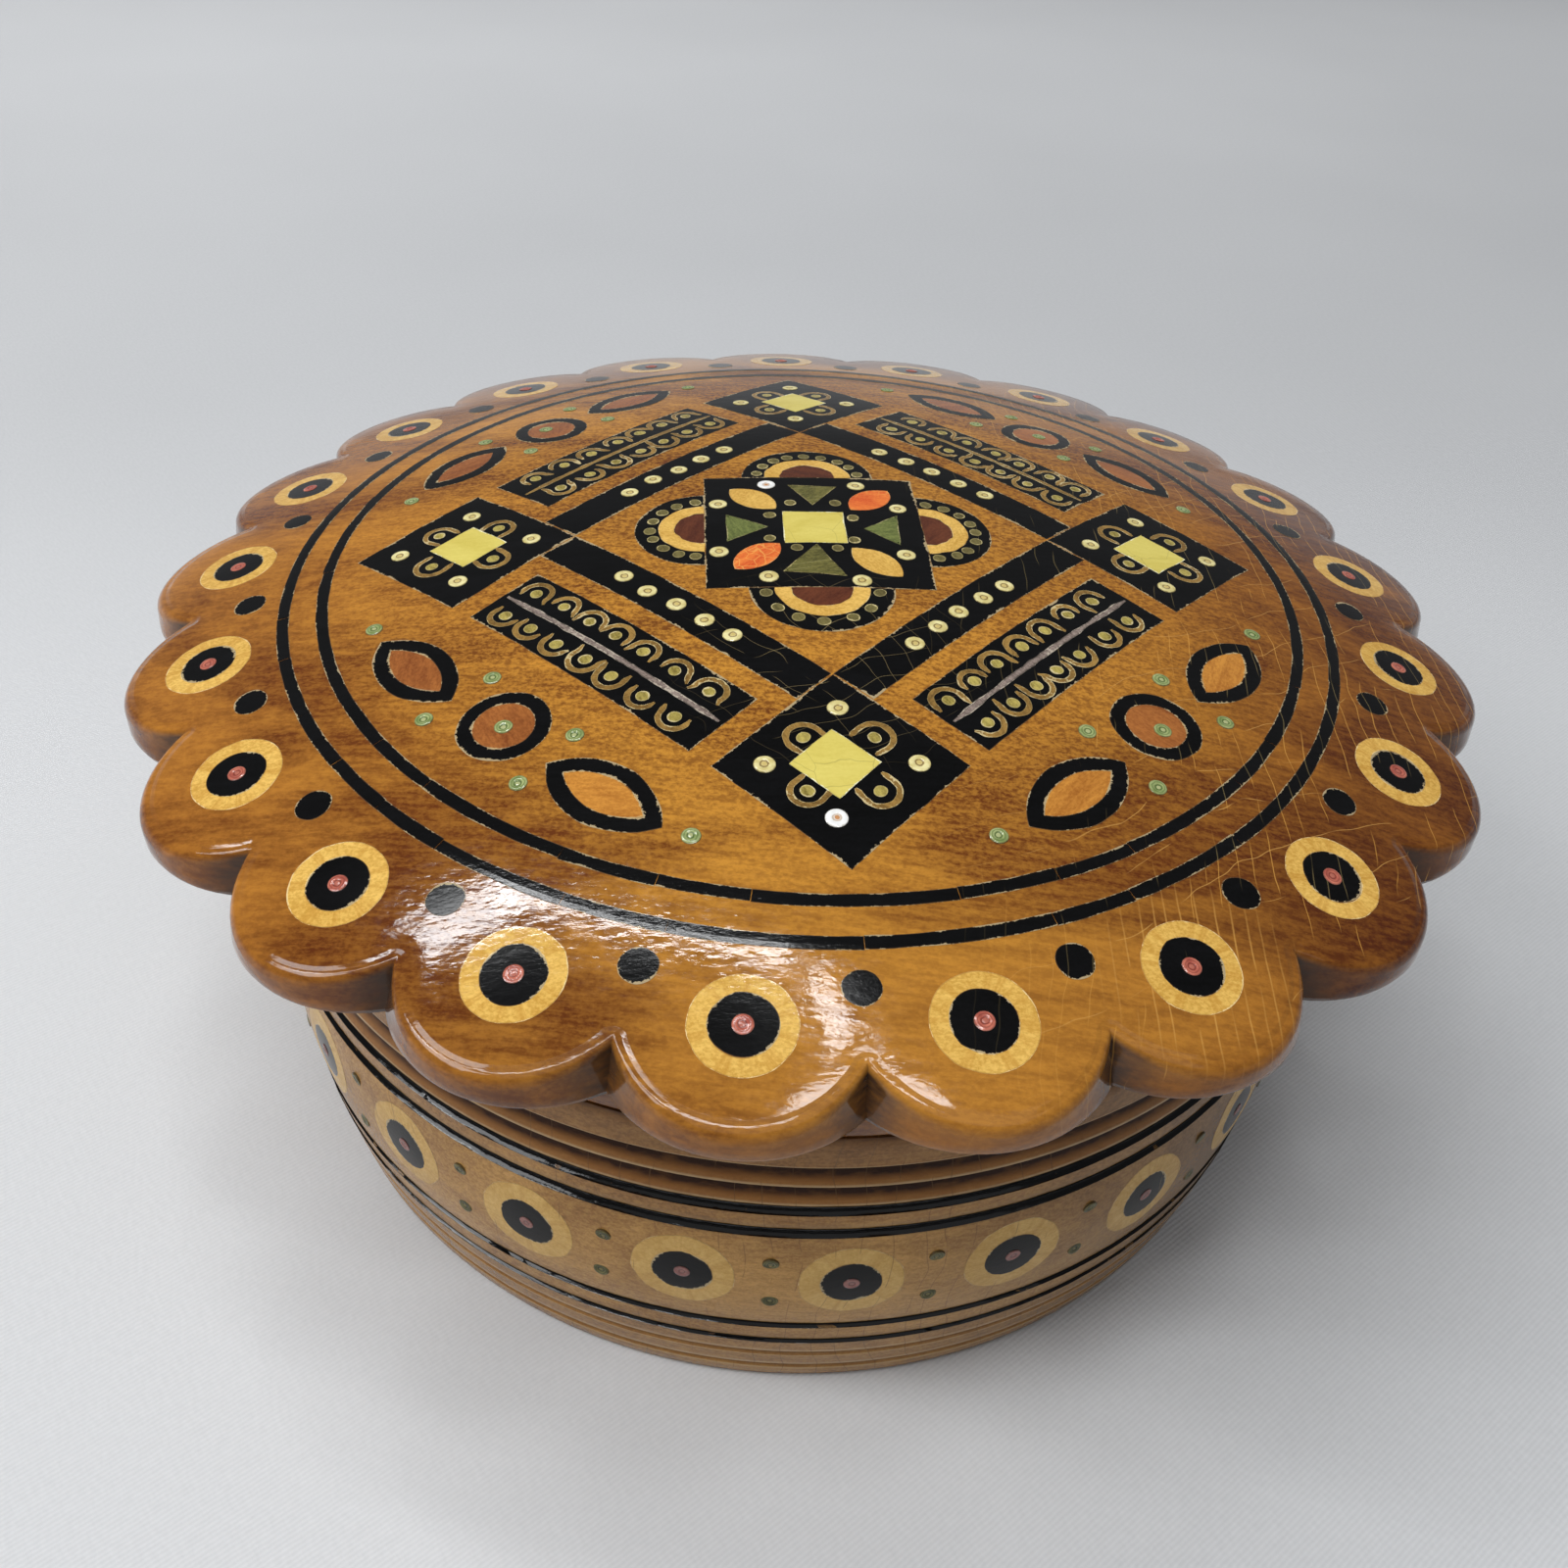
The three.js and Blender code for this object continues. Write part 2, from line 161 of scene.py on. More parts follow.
def makeWoodGrain():
    group, given, made = newGroup("wood grain", "ShaderNodeTree", {
        "Vector": "Vector", "Light": "Color", "Dark": "Color", "Figure Size": 24.0, "Fibre Size": 0.7,
        "Fibre Share": 0.4, "Speckle": 0.5,
    }, {"Color": "Color", "Height": "Float"})
    place, fine = given["Vector"], given["Fibre Size"]
    figure = speckle(stretched(place, 0.4, 1, 1), 1.0 / given["Figure Size"], 5.0, 0.66, 0.8)
    fibre = speckle(stretched(place, 0.14, 1, 1), 1.0 / fine, 4.0, 0.65)
    dots = speckle(stretched(place, 0.7, 1, 1), 1.7 / fine, 2.0, 0.7)
    fibre = ramp(fibre * (1.0 - given["Speckle"]) + dots * given["Speckle"], 0.41, 0.59)
    figure = ramp(figure, 0.37, 0.63, smooth=True)
    share = figure * (1.0 - given["Fibre Share"]) + fibre * given["Fibre Share"]
    feed(mixColour(share, given["Dark"], given["Light"]), made["Color"])
    feed(fibre, made["Height"])
    return group


def crackMask(distance, width, share, coverage):
    line = ramp(distance, width * 0.3, width * 0.7, 1.0, 0.0)
    return line * ramp(share, 0.98 - coverage, 1.03 - coverage)


def makeCraze():
    group, given, made = newGroup("varnish craze", "ShaderNodeTree", {
        "Vector": "Vector", "Spacing": 3.0, "Line Width": 0.08, "Waviness": 3.0, "Coverage": 0.5,
    }, {"Mask": "Float"})
    place = given["Vector"]
    sway = speckle(stretched(place, 0.045, 0.045, 0.045), 1.0, 3.0, 0.45)
    across = split(place)[0] + (sway - 0.5) * (given["Waviness"] * 8.0)
    lines = signal(group, "ShaderNodeTexVoronoi", {
        "W": across, "Scale": 1.0 / given["Spacing"], "Randomness": 1.0,
    }, "Distance", feature="DISTANCE_TO_EDGE", voronoi_dimensions="1D")
    patches = speckle(place, 0.05, 1.0)
    breaks = speckle(stretched(place, 0.7, 0.12, 0.3), 1.0, 1.0)
    feed(crackMask(lines * given["Spacing"], given["Line Width"], patches * 0.5 + breaks * 0.5,
                   given["Coverage"]), made["Mask"])
    return group


def makeWeb():
    group, given, made = newGroup("varnish web", "ShaderNodeTree", {
        "Vector": "Vector", "Cell Size": 6.0, "Line Width": 0.08, "Coverage": 0.5,
    }, {"Mask": "Float"})
    place = given["Vector"]
    bend = signal(group, "ShaderNodeTexNoise", {"Vector": place, "Scale": 0.3, "Detail": 2.0}, "Color")
    pushed = signal(group, "ShaderNodeVectorMath", {0: bend, 1: (1.6, 1.6, 1.6), 2: place},
                    operation="MULTIPLY_ADD")
    cells = signal(group, "ShaderNodeTexVoronoi", {"Vector": pushed, "Scale": 1.0 / given["Cell Size"]},
                   "Distance", feature="DISTANCE_TO_EDGE")
    feed(crackMask(cells * given["Cell Size"], given["Line Width"], speckle(place, 0.06, 2.0),
                   given["Coverage"]), made["Mask"])
    return group


def makeCutEdge():
    group, given, made = newGroup("cut edge", "ShaderNodeTree", {
        "Vector": "Vector", "Chip Width": 0.25, "Joint Width": 0.14,
    }, {"Chips": "Float", "Joint": "Float"})
    edge = attribute(group, "edge")
    ragged = speckle(given["Vector"], 1.9, 3.0, 0.7)
    bites = speckle(given["Vector"], 0.28, 1.0)
    reach = ramp(ragged * bites, 0.22, 0.42) * given["Chip Width"]
    feed(ramp(reach - edge, -0.02, 0.03), made["Chips"])
    feed(ramp(edge, 0.0, given["Joint Width"], 1.0, 0.0), made["Joint"])
    return group


def makeRimRelief():
    group, given, made = newGroup("rim relief", "ShaderNodeTree", {
        "Vector": "Vector", "Start": 61.9, "Slope": 0.03, "Pillow": 0.12, "Pillow Width": 4.2,
        "Worn Edge": 0.2, "Lobes": 21.0, "Lobe Radius": 12.0, "Lobe Centre": 67.7, "Cusp Along": 4.9,
        "Cusp Aside": 10.9,
    }, {"Height": "Float"})
    x, y, z = split(given["Vector"])
    away = length(x, y)
    turns = (calc("ARCTAN2", y, x) + quarterTurn) * (given["Lobes"] / fullTurn)
    local = (calc("FRACT", turns) - 0.5) * (fullTurn / given["Lobes"])
    along = away * calc("COSINE", local) - given["Lobe Centre"]
    aside = calc("ABSOLUTE", away * calc("SINE", local))
    toArc = given["Lobe Radius"] - length(along, aside)
    toCusp = length(along - given["Cusp Along"], aside - given["Cusp Aside"])
    beyond = calc("GREATER_THAN", aside * given["Cusp Along"], along * given["Cusp Aside"])
    toEdge = toCusp * beyond + toArc * (1.0 - beyond)
    share = calc("MINIMUM", calc("MAXIMUM", 1.0 - toEdge / given["Pillow Width"], 0.0), 1.0)
    pillow = calc("POWER", share, 3.0) * (given["Pillow"] * (given["Pillow Width"] / 3.0))
    worn = ramp(toEdge, 0.97, 1.42, 0.45, 0.0) * given["Worn Edge"]
    fall = calc("MAXIMUM", away - given["Start"], 0.0) * given["Slope"]
    feed((pillow + worn + fall) * ramp(z, 57, 59, 0.0, -1.0), made["Height"])    # none on the base
    return group


effects = {"grain": makeWoodGrain(), "craze": makeCraze(), "web": makeWeb(), "edge": makeCutEdge(),
           "relief": makeRimRelief()}


def effect(name, vector, **inputs):
    given = {label.replace("_", " "): value for label, value in inputs.items()}
    made = addNode(vector.tree, "ShaderNodeGroup", {"Vector": vector, **given}, node_tree=effects[name])
    return {socket.name: Signal(socket) for socket in made.outputs}


def startMaterial(name):
    words = "".join(" " + letter.lower() if letter.isupper() else letter for letter in name)
    material = bpy.data.materials.new(words)
    material.use_nodes = True
    shader = next(node for node in material.node_tree.nodes if node.type == "BSDF_PRINCIPLED")
    return material, shader, signal(material.node_tree, "ShaderNodeTexCoord", None, "Object")


def coated(shader, colour, height, depth, roughness, specular):
    bump = signal(height.tree, "ShaderNodeBump", {"Strength": 1.0, "Distance": depth * mm, "Height": height})
    feed(colour, shader.inputs["Base Color"])
    feed(bump, shader.inputs["Normal"])
    feed(roughness, shader.inputs["Roughness"])
    shader.inputs["Specular IOR Level"].default_value = specular


def woodFinish(name, look):
    material, shader, place = startMaterial(name)
    tree = place.tree
    plain = mapped(place, scale=1 / mm)
    vector = mapped(plain, look.get("grainTurn", 0))
    if look.get("perPiece"):
        vector = signal(tree, "ShaderNodeVectorRotate", {
            "Vector": vector, "Angle": attribute(tree, "grain") * 6.3}, rotation_type="Z_AXIS")
    fromAxis = vectorCalc("LENGTH", stretched(plain, 1, 1, 0), output="Value")
    axis = {**dict(enumerate(split(plain))), "radius": fromAxis}
    figure, fibre, fibreShare = look["grain"]
    dots = look.get("speckle", 0.5)
    if "rimCalm" in look:
        fibreShare = ramp(fromAxis, 38, 60, fibreShare, look["rimCalm"])
        dots = ramp(fromAxis, 38, 60, dots, 0.4)
    wood = effect("grain", vector, Light=look["light"], Dark=look["dark"], Figure_Size=figure,
                  Fibre_Size=fibre, Fibre_Share=fibreShare, Speckle=dots)
    colour, height = wood["Color"], wood["Height"]
    # colour multiplied along an axis: mostly painted shade, some of it the wood's own tone
    for kind, start, end, drift, share, tint in look.get("paintedShadeAndTone", ()):
        wander = (speckle(plain, 0.04, 2.0) - 0.5) * drift
        mask = ramp(axis[kind] + wander, start, end, 0.0, share, smooth=True)
        colour = mixColour(mask, colour, tint, "MULTIPLY")
    if "spokes" in look:
        share, tint = look["spokes"]
        ticks = ramp(speckle(attribute(tree, "radial", "Vector"), 1.0, 3.0, 0.6), 0.5, 0.66)
        colour = mixColour(ticks * share, colour, tint)
    # colours placed by attributes: burnt and scorched wood, painted shade in the cusps, grooves and seam,
    # and a painted highlight on groove lips
    for label, tint in look.get("stainsAndPaintedLight", ()):
        ragged = ramp(speckle(stretched(plain, 0.5, 0.5, 1.6), 1.1, 3.0), 0.25, 0.7, 0.75, 1.25)
        colour = mixColour(calc("MINIMUM", attribute(tree, label) * ragged, 1.0), colour, tint)
    if "chips" in look:
        chipWidth, chipColour = look["chips"]
        jointWidth, jointShare, jointColour = look["joint"]
        cut = effect("edge", plain, Chip_Width=chipWidth, Joint_Width=jointWidth)
        colour = mixColour(cut["Joint"] * jointShare, colour, jointColour)
        colour = mixColour(cut["Chips"] * 0.9, colour, chipColour)
        height = height - cut["Joint"] * 0.8
    for crack in look.get("cracks", ()):
        sizes = {key: value for key, value in crack.items() if key[0].isupper()}
        at = mapped(plain, crack.get("turn", 0), crack.get("shift", 0))
        mask = effect(crack.get("effect", "craze"), at, **sizes)["Mask"]
        if "side" in crack:
            direction, low, high = crack["side"]
            mask = mask * ramp(axis[direction], low, high)
        if "near" in crack:
            x, y, inside, outside = crack["near"]
            mask = mask * ramp(vectorCalc("DISTANCE", plain, (x, y, 70), "Value"), inside, outside, 1.0, 0.0)
        colour = mixColour(mask * crack["share"], colour, crack["colour"])
    ripple = speckle(stretched(plain, 0.5, 1, 1), 1 / look.get("rippleSize", 1.3), 2.0)
    height = height * look.get("grainBump", 1.0) + ripple * look.get("ripple", 1.0)
    if look.get("rimRelief"):
        height = height + effect("relief", plain)["Height"] / look["bumpDepth"]
    roughness = look["roughness"]
    if "worn" in look:
        roughness = ramp(speckle(stretched(plain, 0.6, 1, 1), 0.9, 3.0, 0.7), 0.4, 0.6, *look["worn"])
    coated(shader, colour, height, look["bumpDepth"], roughness, look["specular"])
    return material


# Where each part of a bead starts and ends, as shares of its radius
beadParts = {"plug": (0.2, 0.26), "lip": (0.24, 0.3, 0.38, 0.46), "groove": (0.58, 0.64, 0.7, 0.78),
             "rim": (0.86, 0.98)}


def glassFinish(name, look):
    material, shader, place = startMaterial(name)
    plain = mapped(place, scale=1 / mm)
    ring = attribute(place.tree, "ring") + (speckle(plain, 2.4, 2.0) - 0.5) * 0.22

    def hoop(start, startFull, endFull, end):
        return ramp(ring, start, startFull) * ramp(ring, endFull, end, 1.0, 0.0)

    colour = mixColour(ramp(speckle(plain, 0.9, 2.0), 0.35, 0.65), look["dark"], look["light"])
    colour = mixColour(hoop(*beadParts["lip"]) * look.get("lipShare", 0.8), colour, look["lip"])
    colour = mixColour(ramp(ring, *beadParts["plug"], 1.0, 0.0), colour, look["plug"])
    if "groove" in look:
        colour = mixColour(hoop(*beadParts["groove"]) * 0.6, colour, look["groove"])
    colour = mixColour(ramp(ring, *beadParts["rim"]) * look.get("rimShare", 0.7), colour, look["rim"])
    coated(shader, colour, speckle(plain, 2.2, 2.0), 0.03, look["roughness"], look.get("specular", 0.5))
    return material


goldCracks = {"Spacing": 1.9, "Line_Width": 0.1, "Waviness": 0.9, "Coverage": 0.47, "turn": 4, "share": 0.6,
              "colour": (0.62, 0.31, 0.06), "side": (0, 8, 34)}
goldCrossing = {"Spacing": 5.0, "Line_Width": 0.08, "Waviness": 1.5, "Coverage": 0.47, "turn": 62,
                "shift": 31, "share": 0.6, "colour": (0.6, 0.32, 0.08), "side": (0, 5, 30)}
lobeCracks = {"Spacing": 1.5, "Line_Width": 0.16, "Waviness": 0.35, "Coverage": 0.62, "turn": 4, "shift": 7,
              "share": 0.6, "colour": (0.6, 0.31, 0.07), "near": (32, -65, 7, 12)}
paleCracks = {**goldCracks, "share": 0.35, "colour": (0.32, 0.24, 0.1)}
barCracks = {"Spacing": 2.9, "Line_Width": 0.07, "Waviness": 2.2, "Coverage": 0.53, "turn": -28,
             "share": 0.42, "colour": (0.36, 0.27, 0.12), "near": (0, -25, 6, 18)}
crossBarCracks = {**barCracks, "turn": 62, "shift": 17}
bellyCracks = {"Spacing": 3.1, "Line_Width": 0.11, "Waviness": 1.2, "Coverage": 0.5, "share": 0.5,
               "colour": (0.14, 0.07, 0.025)}
oliveCracks = {"Spacing": 1.1, "Line_Width": 0.09, "Waviness": 0.5, "Coverage": 0.5, "turn": 80,
               "share": 0.5, "colour": (0.4, 0.37, 0.16)}
lemonWeb = {"effect": "web", "Cell_Size": 5.5, "Line_Width": 0.07, "Coverage": 0.5, "share": 0.5,
            "colour": (0.36, 0.29, 0.07)}
orangeWeb = {"effect": "web", "Cell_Size": 1.3, "Line_Width": 0.09, "Coverage": 0.55, "share": 0.5,
             "colour": (0.85, 0.5, 0.12)}

# grain: size of the figure, size of the fibre, share of the fibre. chips: width, colour.
# joint: width, share, colour. painted shade and tone: axis, start, end, drift, share, tint, each a darkening
# or tint along an axis.
lacquer = {"roughness": 0.08, "worn": (0.05, 0.1), "bumpDepth": 0.012, "grainBump": 0.12, "rippleSize": 0.8,
           "ripple": 1.75, "specular": 0.38}
inlay = {**lacquer, "perPiece": True}
ebony = {"light": (0.0045, 0.0045, 0.005), "dark": (0.002, 0.002, 0.002), "grain": (9, 0.5, 0.5),
         "roughness": 0.08, "bumpDepth": 0.012, "grainBump": 0.2, "rippleSize": 0.9}
woods = {
    "lidWood": {
        **lacquer, "light": (0.545, 0.243, 0.031), "dark": (0.125, 0.031, 0.005), "grain": (21, 0.72, 0.66),
        "rimCalm": 0.34, "speckle": 0.7, "grainTurn": 10, "rimRelief": True,
        # the notch colour is painted shade on the scallop walls near each cusp
        "cracks": (goldCracks, goldCrossing, lobeCracks), "stainsAndPaintedLight": (("notch", (0.055, 0.026, 0.013)),),
        # darker towards the rim; the lobes' walls darker, end grain with painted shade; the right side
        # darker, painted shade; the left side redder
        "paintedShadeAndTone": (("radius", 58, 69, 6, 0.8, (0.8, 0.76, 0.82)),
                   (2, 64.5, 61.5, 0.6, 0.8, (0.72, 0.6, 0.5)), (0, 10, 64, 20, 0.95, (0.62, 0.5, 0.45)),
                   (0, -15, -75, 24, 0.7, (0.93, 0.82, 0.8)))},
    "bodyWood": {
        "light": (0.52, 0.285, 0.08), "dark": (0.22, 0.098, 0.023), "grain": (22, 0.5, 0.5),
        "roughness": 0.24, "specular": 0.3, "bumpDepth": 0.008, "cracks": (bellyCracks,),
        # painted shadow of the lid over the upper body, the right side darker as painted shade, and darker
        # towards the foot
        "paintedShadeAndTone": ((2, 31, 37, 2, 0.6, (0.62, 0.5, 0.4)), (0, 4, 58, 12, 0.95, (0.42, 0.38, 0.36)),
                   (2, 15, 10, 1, 0.6, (0.8, 0.74, 0.68))),
        # burnt and scorched colour with painted shade, and a pale lip that is a painted highlight
        "stainsAndPaintedLight": (("burn", (0.29, 0.115, 0.022)), ("scorchAndShade", (0.035, 0.012, 0.004)),
                   ("lip", (0.5, 0.34, 0.17)))},
    "blackWood": {
        **ebony, "roughness": 0.13, "specular": 0.16, "bumpDepth": 0.008, "ripple": 1.6, "grainBump": 0.3,
        "rimRelief": True, "chips": (0.33, (0.45, 0.35, 0.2)), "joint": (0.1, 0.7, (0.12, 0.06, 0.025)),
        "cracks": (barCracks, crossBarCracks, paleCracks)},
    "blackLineWood": {
        **ebony, "specular": 0.22, "rimRelief": True, "chips": (0.2, (0.42, 0.33, 0.19)),
        "joint": (0.1, 0.6, (0.12, 0.06, 0.025)), "cracks": (paleCracks,)},
    "grooveBlack": {
        **ebony, "light": (0.005, 0.004, 0.004), "specular": 0.3, "bumpDepth": 0.02,
        "chips": (0.2, (0.1, 0.05, 0.02)), "joint": (0.12, 0.8, (0.06, 0.025, 0.01))},
    "yellowWood": {
        **inlay, "light": (0.79, 0.5, 0.125), "dark": (0.55, 0.3, 0.052), "grain": (4, 0.5, 0.6),
        "speckle": 0.8, "rimRelief": True, "spokes": (0.45, (0.48, 0.22, 0.025)),
        "chips": (0.16, (0.8, 0.6, 0.28)), "joint": (0.14, 0.6, (0.25, 0.1, 0.02))},
    "bellyYellowWood": {
        "light": (0.66, 0.42, 0.135), "dark": (0.5, 0.29, 0.07), "grain": (4, 0.5, 0.55), "perPiece": True,
        "spokes": (0.3, (0.4, 0.2, 0.04)), "roughness": 0.26, "specular": 0.25, "bumpDepth": 0.008,
        "cracks": (bellyCracks,), "chips": (0.12, (0.6, 0.42, 0.2)), "joint": (0.14, 0.6, (0.2, 0.1, 0.03))},
    "lemonWood": {
        **lacquer, "light": (0.71, 0.6, 0.15), "dark": (0.6, 0.48, 0.092), "grain": (6, 0.5, 0.3),
        "chips": (0.2, (0.88, 0.85, 0.6)), "joint": (0.14, 0.5, (0.3, 0.22, 0.05)), "cracks": (lemonWeb,)},
    "sageWood": {
        **inlay, "light": (0.19, 0.22, 0.06), "dark": (0.075, 0.09, 0.025), "grain": (3, 0.4, 0.7),
        "chips": (0.2, (0.4, 0.36, 0.16)), "joint": (0.14, 0.6, (0.04, 0.03, 0.01))},
    "oliveWood": {
        **inlay, "light": (0.19, 0.17, 0.045), "dark": (0.06, 0.056, 0.016), "grain": (3, 0.4, 0.6),
        "chips": (0.2, (0.4, 0.33, 0.14)), "joint": (0.14, 0.6, (0.04, 0.03, 0.01)),
        "cracks": (oliveCracks,)},
    "brassColouredWood": {
        **inlay, "light": (0.52, 0.42, 0.11), "dark": (0.17, 0.125, 0.025), "grain": (1.6, 0.4, 0.5),
        "chips": (0.3, (0.62, 0.52, 0.28)), "joint": (0.16, 0.6, (0.58, 0.48, 0.2))},
    "dotWood": {
        **inlay, "light": (0.2, 0.165, 0.055), "dark": (0.075, 0.06, 0.02), "grain": (1.6, 0.4, 0.5),
        "chips": (0.3, (0.6, 0.5, 0.24)), "joint": (0.18, 0.55, (0.48, 0.4, 0.17))},
    "orangeWood": {
        **inlay, "light": (0.83, 0.23, 0.045), "dark": (0.6, 0.07, 0.018), "grain": (4, 0.4, 0.45),
        "chips": (0.14, (0.85, 0.4, 0.15)), "joint": (0.14, 0.5, (0.3, 0.06, 0.02)),
        "cracks": (orangeWeb,)},
    "brownWood": {
        **inlay, "light": (0.14, 0.04, 0.016), "dark": (0.065, 0.016, 0.008), "grain": (4, 0.45, 0.5),
        "chips": (0.1, (0.3, 0.12, 0.05)), "joint": (0.14, 0.5, (0.06, 0.02, 0.01))},
    "amberWood": {
        **inlay, "light": (0.62, 0.27, 0.045), "dark": (0.33, 0.11, 0.015), "grain": (6, 0.5, 0.5),
        "chips": (0.16, (0.6, 0.4, 0.16)), "joint": (0.14, 0.4, (0.1, 0.03, 0.01))},
    "redBrownWood": {
        **inlay, "light": (0.4, 0.14, 0.032), "dark": (0.19, 0.052, 0.012), "grain": (6, 0.5, 0.5),
        "chips": (0.16, (0.6, 0.4, 0.16)), "joint": (0.14, 0.4, (0.1, 0.03, 0.01))},
    "loopWood": {
        **inlay, "light": (0.37, 0.215, 0.055), "dark": (0.13, 0.07, 0.018), "grain": (3, 0.35, 0.55),
        "chips": (0.24, (0.62, 0.5, 0.26)), "joint": (0.08, 0.45, (0.5, 0.37, 0.14))},
    "stripWood": {
        **lacquer, "light": (0.34, 0.265, 0.225), "dark": (0.13, 0.095, 0.08), "grain": (3, 0.3, 0.8),
        "grainTurn": 45, "chips": (0.28, (0.5, 0.43, 0.34)), "joint": (0.2, 0.8, (0.03, 0.025, 0.02))},
}
glasses = {
    "creamBead": {
        "light": (0.8, 0.72, 0.36), "dark": (0.6, 0.5, 0.19), "lip": (0.2, 0.115, 0.03), "lipShare": 0.9,
        "plug": (0.6, 0.46, 0.16), "rim": (0.13, 0.09, 0.03), "rimShare": 0.85, "roughness": 0.12},
    "whiteBead": {
        "light": (0.9, 0.9, 0.88), "dark": (0.8, 0.8, 0.78), "lip": (0.5, 0.36, 0.24),
        "plug": (0.55, 0.26, 0.1), "rim": (0.4, 0.36, 0.28), "roughness": 0.12},
    "greenBead": {
        "light": (0.36, 0.41, 0.17), "dark": (0.2, 0.26, 0.085), "lip": (0.05, 0.09, 0.02),
        "plug": (0.4, 0.42, 0.2), "groove": (0.08, 0.13, 0.035), "rim": (0.12, 0.08, 0.03),
        "rimShare": 0.85, "roughness": 0.12},
    "bellyGreenBead": {
        "light": (0.16, 0.145, 0.05), "dark": (0.06, 0.06, 0.02), "lip": (0.018, 0.02, 0.008),
        "plug": (0.16, 0.14, 0.05), "groove": (0.025, 0.028, 0.01), "rim": (0.09, 0.055, 0.02),
        "rimShare": 0.9, "roughness": 0.22, "specular": 0.2},
    "redBead": {
        "light": (0.56, 0.17, 0.11), "dark": (0.36, 0.08, 0.055), "lip": (0.16, 0.03, 0.02),
        "plug": (0.42, 0.13, 0.09), "groove": (0.2, 0.045, 0.03), "rim": (0.1, 0.06, 0.045),
        "roughness": 0.14},
    "bellyRedBead": {
        "light": (0.3, 0.115, 0.095), "dark": (0.2, 0.065, 0.055), "lip": (0.1, 0.03, 0.025),
        "plug": (0.24, 0.09, 0.075), "rim": (0.05, 0.03, 0.025), "roughness": 0.18},
}
finishes = {name: woodFinish(name, look) for name, look in woods.items()}
finishes.update({name: glassFinish(name, look) for name, look in glasses.items()})
print("finishes: made", len(finishes))


# Surfaces that the pieces lie on

dome = {"crown": 75.2, "radius": 270.0}
bodyShape = {
    "belly": 68.25, "bandEdge": 67.5, "shoulder": 66.8, "footTaper": 2.3, "footCurve": 1.4,
    "seam": 46.6, "bellyTop": 31.3, "bellyBottom": 15.3,
    "bowl": 60.0, "floor": 7.0, "bowlCorner": 6.0, "collar": 63.0, "collarHeight": 5.0, "collarEdge": 0.4,
    "footEdge": 0.7, "seamEdge": 0.7, "grooveLip": 0.3,
}


def polar(radius, angle):
    return radius * math.cos(angle), radius * math.sin(angle)


def domeHeight(r):
    return dome["crown"] - dome["radius"] + math.sqrt(dome["radius"] ** 2 - r * r)


def onDome(x, y, rise):
    z = domeHeight(math.hypot(x, y))
    out = Vector((x, y, z - dome["crown"] + dome["radius"])).normalized()
    return Vector((x, y, z)) + out * rise


def onCap(x, y, rise):    # the dome's curve round the origin, for a prototype that is set out later
    return Vector((x, y, rise - (x * x + y * y) / (2 * dome["radius"])))


def wallRadius(z):
    shape = bodyShape
    if z >= shape["bellyTop"]:
        share = (z - shape["bellyTop"]) / (shape["seam"] - shape["bellyTop"])
        return shape["bandEdge"] + (shape["shoulder"] - shape["bandEdge"]) * share
    if z >= shape["bellyBottom"]:
        across = 2 * (z - shape["bellyBottom"]) / (shape["bellyTop"] - shape["bellyBottom"]) - 1
        return shape["bandEdge"] + (shape["belly"] - shape["bandEdge"]) * (1 - across ** 2)
    below = 1 - max(z, 0) / shape["bellyBottom"]
    return shape["bandEdge"] - shape["footTaper"] * below ** shape["footCurve"]


def onBelly(angle, height):
    def lay(x, y, rise):
        z = height + y
        return Vector((*polar(wallRadius(z) + rise, angle + x / bodyShape["belly"]), z))
    return lay


# Mesh tools. A sketch gathers closed slabs until they become one piece.

class Sketch:
    def __init__(self):
        self.points, self.faces = [], []
        self.values = {"edge": [], "grain": [], "radial": []}

    def ring(self, places, edge, grain, radial=None):
        start = len(self.points)
        self.points.extend(places)
        self.values["edge"].extend([edge] * len(places))
        self.values["grain"].extend([grain] * len(places))
        self.values["radial"].extend(radial or [(0.0, 0.0, 0.0)] * len(places))
        return start

    def band(self, first, second, count, closed=True):
        for i in range(count if closed else count - 1):
            j = (i + 1) % count
            self.faces.append((first + i, first + j, second + j, second + i))

    def fan(self, centre, ring, count, up=True):
        for i in range(count):
            j = (i + 1) % count
            self.faces.append((ring + i, ring + j, centre) if up else (ring + j, ring + i, centre))


def between(a, b, share):
    return a[0] + (b[0] - a[0]) * share, a[1] + (b[1] - a[1]) * share


def insetLoop(loop, distance):
    made = []
    for i, (x, y) in enumerate(loop):
        ax, ay = loop[i - 1]
        bx, by = loop[(i + 1) % len(loop)]
        first = Vector((ay - y, x - ax)).normalized()
        second = Vector((y - by, bx - x)).normalized()
        middle = (first + second).normalized()
        reach = distance / max(0.45, middle.dot(first))
        made.append((x + middle.x * reach, y + middle.y * reach))
    return made


def middleOf(loop):
    return sum(x for x, _ in loop) / len(loop), sum(y for _, y in loop) / len(loop)


def spokeVectors(hole, seed, ticks=5.5):
    cx, cy = middleOf(hole)
    made = []
    for x, y in hole:
        away = math.hypot(x - cx, y - cy)
        made.append(((x - cx) / away * ticks, (y - cy) / away * ticks, seed))
    return made


